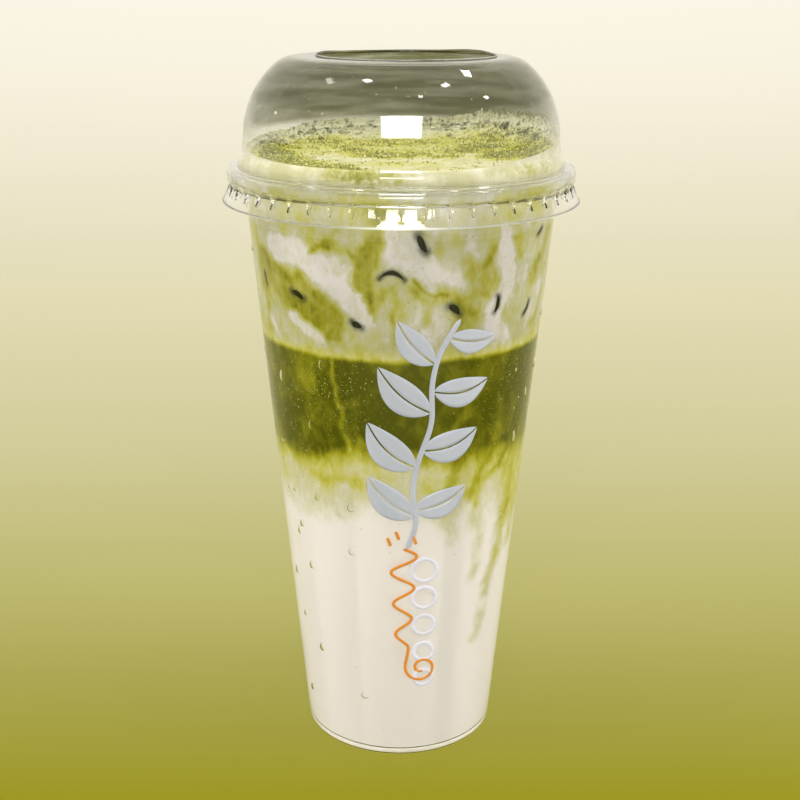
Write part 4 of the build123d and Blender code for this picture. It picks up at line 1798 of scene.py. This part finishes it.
def sweep_material(stage):
    """Card that fades from pale cream far off to olive near by, and lights the object as plain card."""
    card, shader = new_material("pale card")
    tree = card.node_tree
    place = add_node(tree, "TexCoord").outputs["Object"]
    depth = add_node(tree, "SeparateXYZ", {"Vector": place}).outputs["Y"]
    # The floor on the near side of the fade's start mirrors it, for views from behind.
    mirrored = math_node(tree, "SUBTRACT", 2 * FADE_FROM, depth)
    share = mask(tree, math_node(tree, "MAXIMUM", depth, mirrored), FADE_FROM, FADE_TO)
    fade = ramp(tree, share, (
        (0.03, tuple(stage.near)),
        (0.10, (0.43, 0.40, 0.13)),
        (0.20, (0.567, 0.53, 0.285)),
        (0.28, tuple(stage.middle)),
        (0.40, (0.745, 0.695, 0.46)),
        (0.61, (0.848, 0.791, 0.585)),
        (0.87, (0.936, 0.877, 0.697)),
        (1.0, tuple(stage.far)),
    ))
    seen = seen_share(tree)
    colour = mix_colour(tree, seen, tuple(stage.floor), fade)
    tree.links.new(colour, shader.inputs["Base Color"])
    glow = math_node(tree, "MULTIPLY", seen, stage.glow)
    shader.inputs["Roughness"].default_value = 0.9
    shader.inputs["Specular IOR Level"].default_value = 0.0
    lit = add_node(tree, "Emission", {"Color": colour, "Strength": 1.12})
    blend = add_node(tree, "MixShader", {"Fac": glow})
    tree.links.new(shader.outputs["BSDF"], blend.inputs[1])
    tree.links.new(lit.outputs["Emission"], blend.inputs[2])
    tree.links.new(blend.outputs["Shader"], tree.nodes["Material Output"].inputs["Surface"])
    return card


def sweep_shape():
    """Points and faces of one sweep of card: floor in front, curving up behind."""
    deep, bend, tall, wide = 1.2, 0.5, 2.4, 4.0
    section = [(-2.5, 0.0), (deep, 0.0)]
    turns = np.radians(np.linspace(-90, 0, 16))
    section += [(deep + bend * math.cos(t), bend + bend * math.sin(t)) for t in turns[1:]]
    section.append((deep + bend, tall))
    points = [(x, y, z) for y, z in section for x in (-wide, wide)]
    faces = [(2 * i, 2 * i + 1, 2 * i + 3, 2 * i + 2) for i in range(len(section) - 1)]
    return points, faces


def soft_room(stage):
    """A world that lights the object with one grey and shows in the plastic as another colour."""
    world = bpy.data.worlds.new("soft room")
    world.use_nodes = True
    tree = world.node_tree
    background = tree.nodes["Background"]
    room = mix_colour(tree, seen_share(tree), tuple(stage.room), tuple(stage.room_seen))
    tree.links.new(room, background.inputs["Color"])
    background.inputs["Strength"].default_value = 1.0
    return world


def set_lamps():
    """Four softboxes that light the object, and seven small lamps that only glint in the dome."""
    middle = (0, 0, 0.11)
    softboxes = (
        ("left softbox", (-0.64, -0.12, 0.42), (0.40, 0.7), 4.1),
        ("right softbox", (0.64, -0.12, 0.42), (0.40, 0.7), 4.15),
        ("front softbox", (0.0, -0.72, 0.50), (0.6, 0.4), 3.35),
        ("top softbox", (0.0, 0.05, 0.95), (0.6, 0.6), 4.0),
    )
    for name, place, size, watts in softboxes:
        lamp = soft_lamp(name, place, middle, size, watts)
        lamp.visible_glossy = False
        lamp.visible_transmission = False
    # Place, width, length and glare of each spot.
    spots = (
        ((-0.26, -0.10, 1.05), 0.08, 0.06, 60),
        ((0.34, -0.15, 1.02), 0.07, 0.05, 60),
        ((0.40, 0.22, 0.98), 0.17, 0.06, 60),
        ((0.66, -0.09, 0.80), 0.05, 0.05, 60),
        ((-0.50, 0.08, 0.94), 0.13, 0.05, 14),
        ((0.17, -0.45, 0.99), 0.04, 0.03, 50),
    )
    for number, (place, across, along, glare) in enumerate(spots):
        size = (across, along)
        lamp = soft_lamp(f"spot {number}", place, (0, 0, 0.19), size, glare * across * along)
        lamp.visible_diffuse = False
    window = soft_lamp("window", (0.0, -0.58, 0.45), (0, 0, 0.187), (0.30, 0.27), 3.3)
    window.visible_diffuse = False


def set_camera(stage):
    """The camera, set by its distance, height and lean."""
    lens = bpy.data.cameras.new("camera")
    lens.lens = stage.lens
    lens.sensor_width = 36.0
    camera = bpy.data.objects.new("camera", lens)
    camera.location = (stage.aside, -stage.distance, stage.height)
    camera.rotation_euler = (math.pi / 2 - stage.pitch, stage.roll, 0.0)
    bpy.context.scene.collection.objects.link(camera)
    return camera


class LATTE_OT_stage(bpy.types.Operator):
    """Set the pale floor and backdrop, the softboxes and the camera"""

    bl_idname = "latte.stage"
    bl_label = "Stage"

    def execute(self, context):
        scene = context.scene
        stage = scene.latte_stage
        points, faces = sweep_shape()
        card = sweep_material(stage)
        mesh_object("pale_sweep", points, faces, card)
        scene.world = soft_room(stage)
        set_lamps()
        scene.camera = set_camera(stage)
        scene.view_settings.view_transform = "Standard"
        return {"FINISHED"}


# ---------------------------------------------------------------- panel and running

# Where each group of settings hangs on the scene.
SETTINGS = {
    "latte_cup": CupSettings,
    "latte_drink": DrinkSettings,
    "latte_foam": FoamSettings,
    "latte_droplets": DropletSettings,
    "latte_print": PrintSettings,
    "latte_stage": StageSettings,
}

# The operators in the order in which they are run.
STEPS = (
    LATTE_OT_stage,
    LATTE_OT_drink,
    LATTE_OT_shade_spots,
    LATTE_OT_wall_bubbles,
    LATTE_OT_foam,
    LATTE_OT_powder,
    LATTE_OT_bubbles,
    LATTE_OT_cup,
    LATTE_OT_lid,
    LATTE_OT_droplets,
    LATTE_OT_print,
)


class LATTE_PT_panel(bpy.types.Panel):
    """Lists the pieces of the drink and their settings"""

    bl_label = "Matcha latte"
    bl_idname = "LATTE_PT_panel"
    bl_space_type = "VIEW_3D"
    bl_region_type = "UI"
    bl_category = "Matcha latte"

    def draw(self, context):
        for step in STEPS:
            self.layout.operator(step.bl_idname)
        for name, settings in SETTINGS.items():
            box = self.layout.box()
            group = getattr(context.scene, name)
            for key in settings.__annotations__:
                box.prop(group, key)


def register():
    """Registers the settings, the operators and the panel."""
    for name, settings in SETTINGS.items():
        bpy.utils.register_class(settings)
        setattr(bpy.types.Scene, name, PointerProperty(type=settings))
    for step in STEPS:
        bpy.utils.register_class(step)
    bpy.utils.register_class(LATTE_PT_panel)


def unregister():
    """Takes the panel, the operators and the settings away again."""
    bpy.utils.unregister_class(LATTE_PT_panel)
    for step in reversed(STEPS):
        bpy.utils.unregister_class(step)
    for name, settings in SETTINGS.items():
        delattr(bpy.types.Scene, name)
        bpy.utils.unregister_class(settings)


def main():
    register()
    bpy.ops.latte.stage()
    bpy.ops.latte.drink()
    bpy.ops.latte.pearls()
    bpy.ops.latte.wall_bubbles()
    bpy.ops.latte.foam()
    bpy.ops.latte.powder()
    bpy.ops.latte.bubbles()
    bpy.ops.latte.cup()
    bpy.ops.latte.lid()
    bpy.ops.latte.droplets()
    bpy.ops.latte.print()


if __name__ == "__main__":
    main()
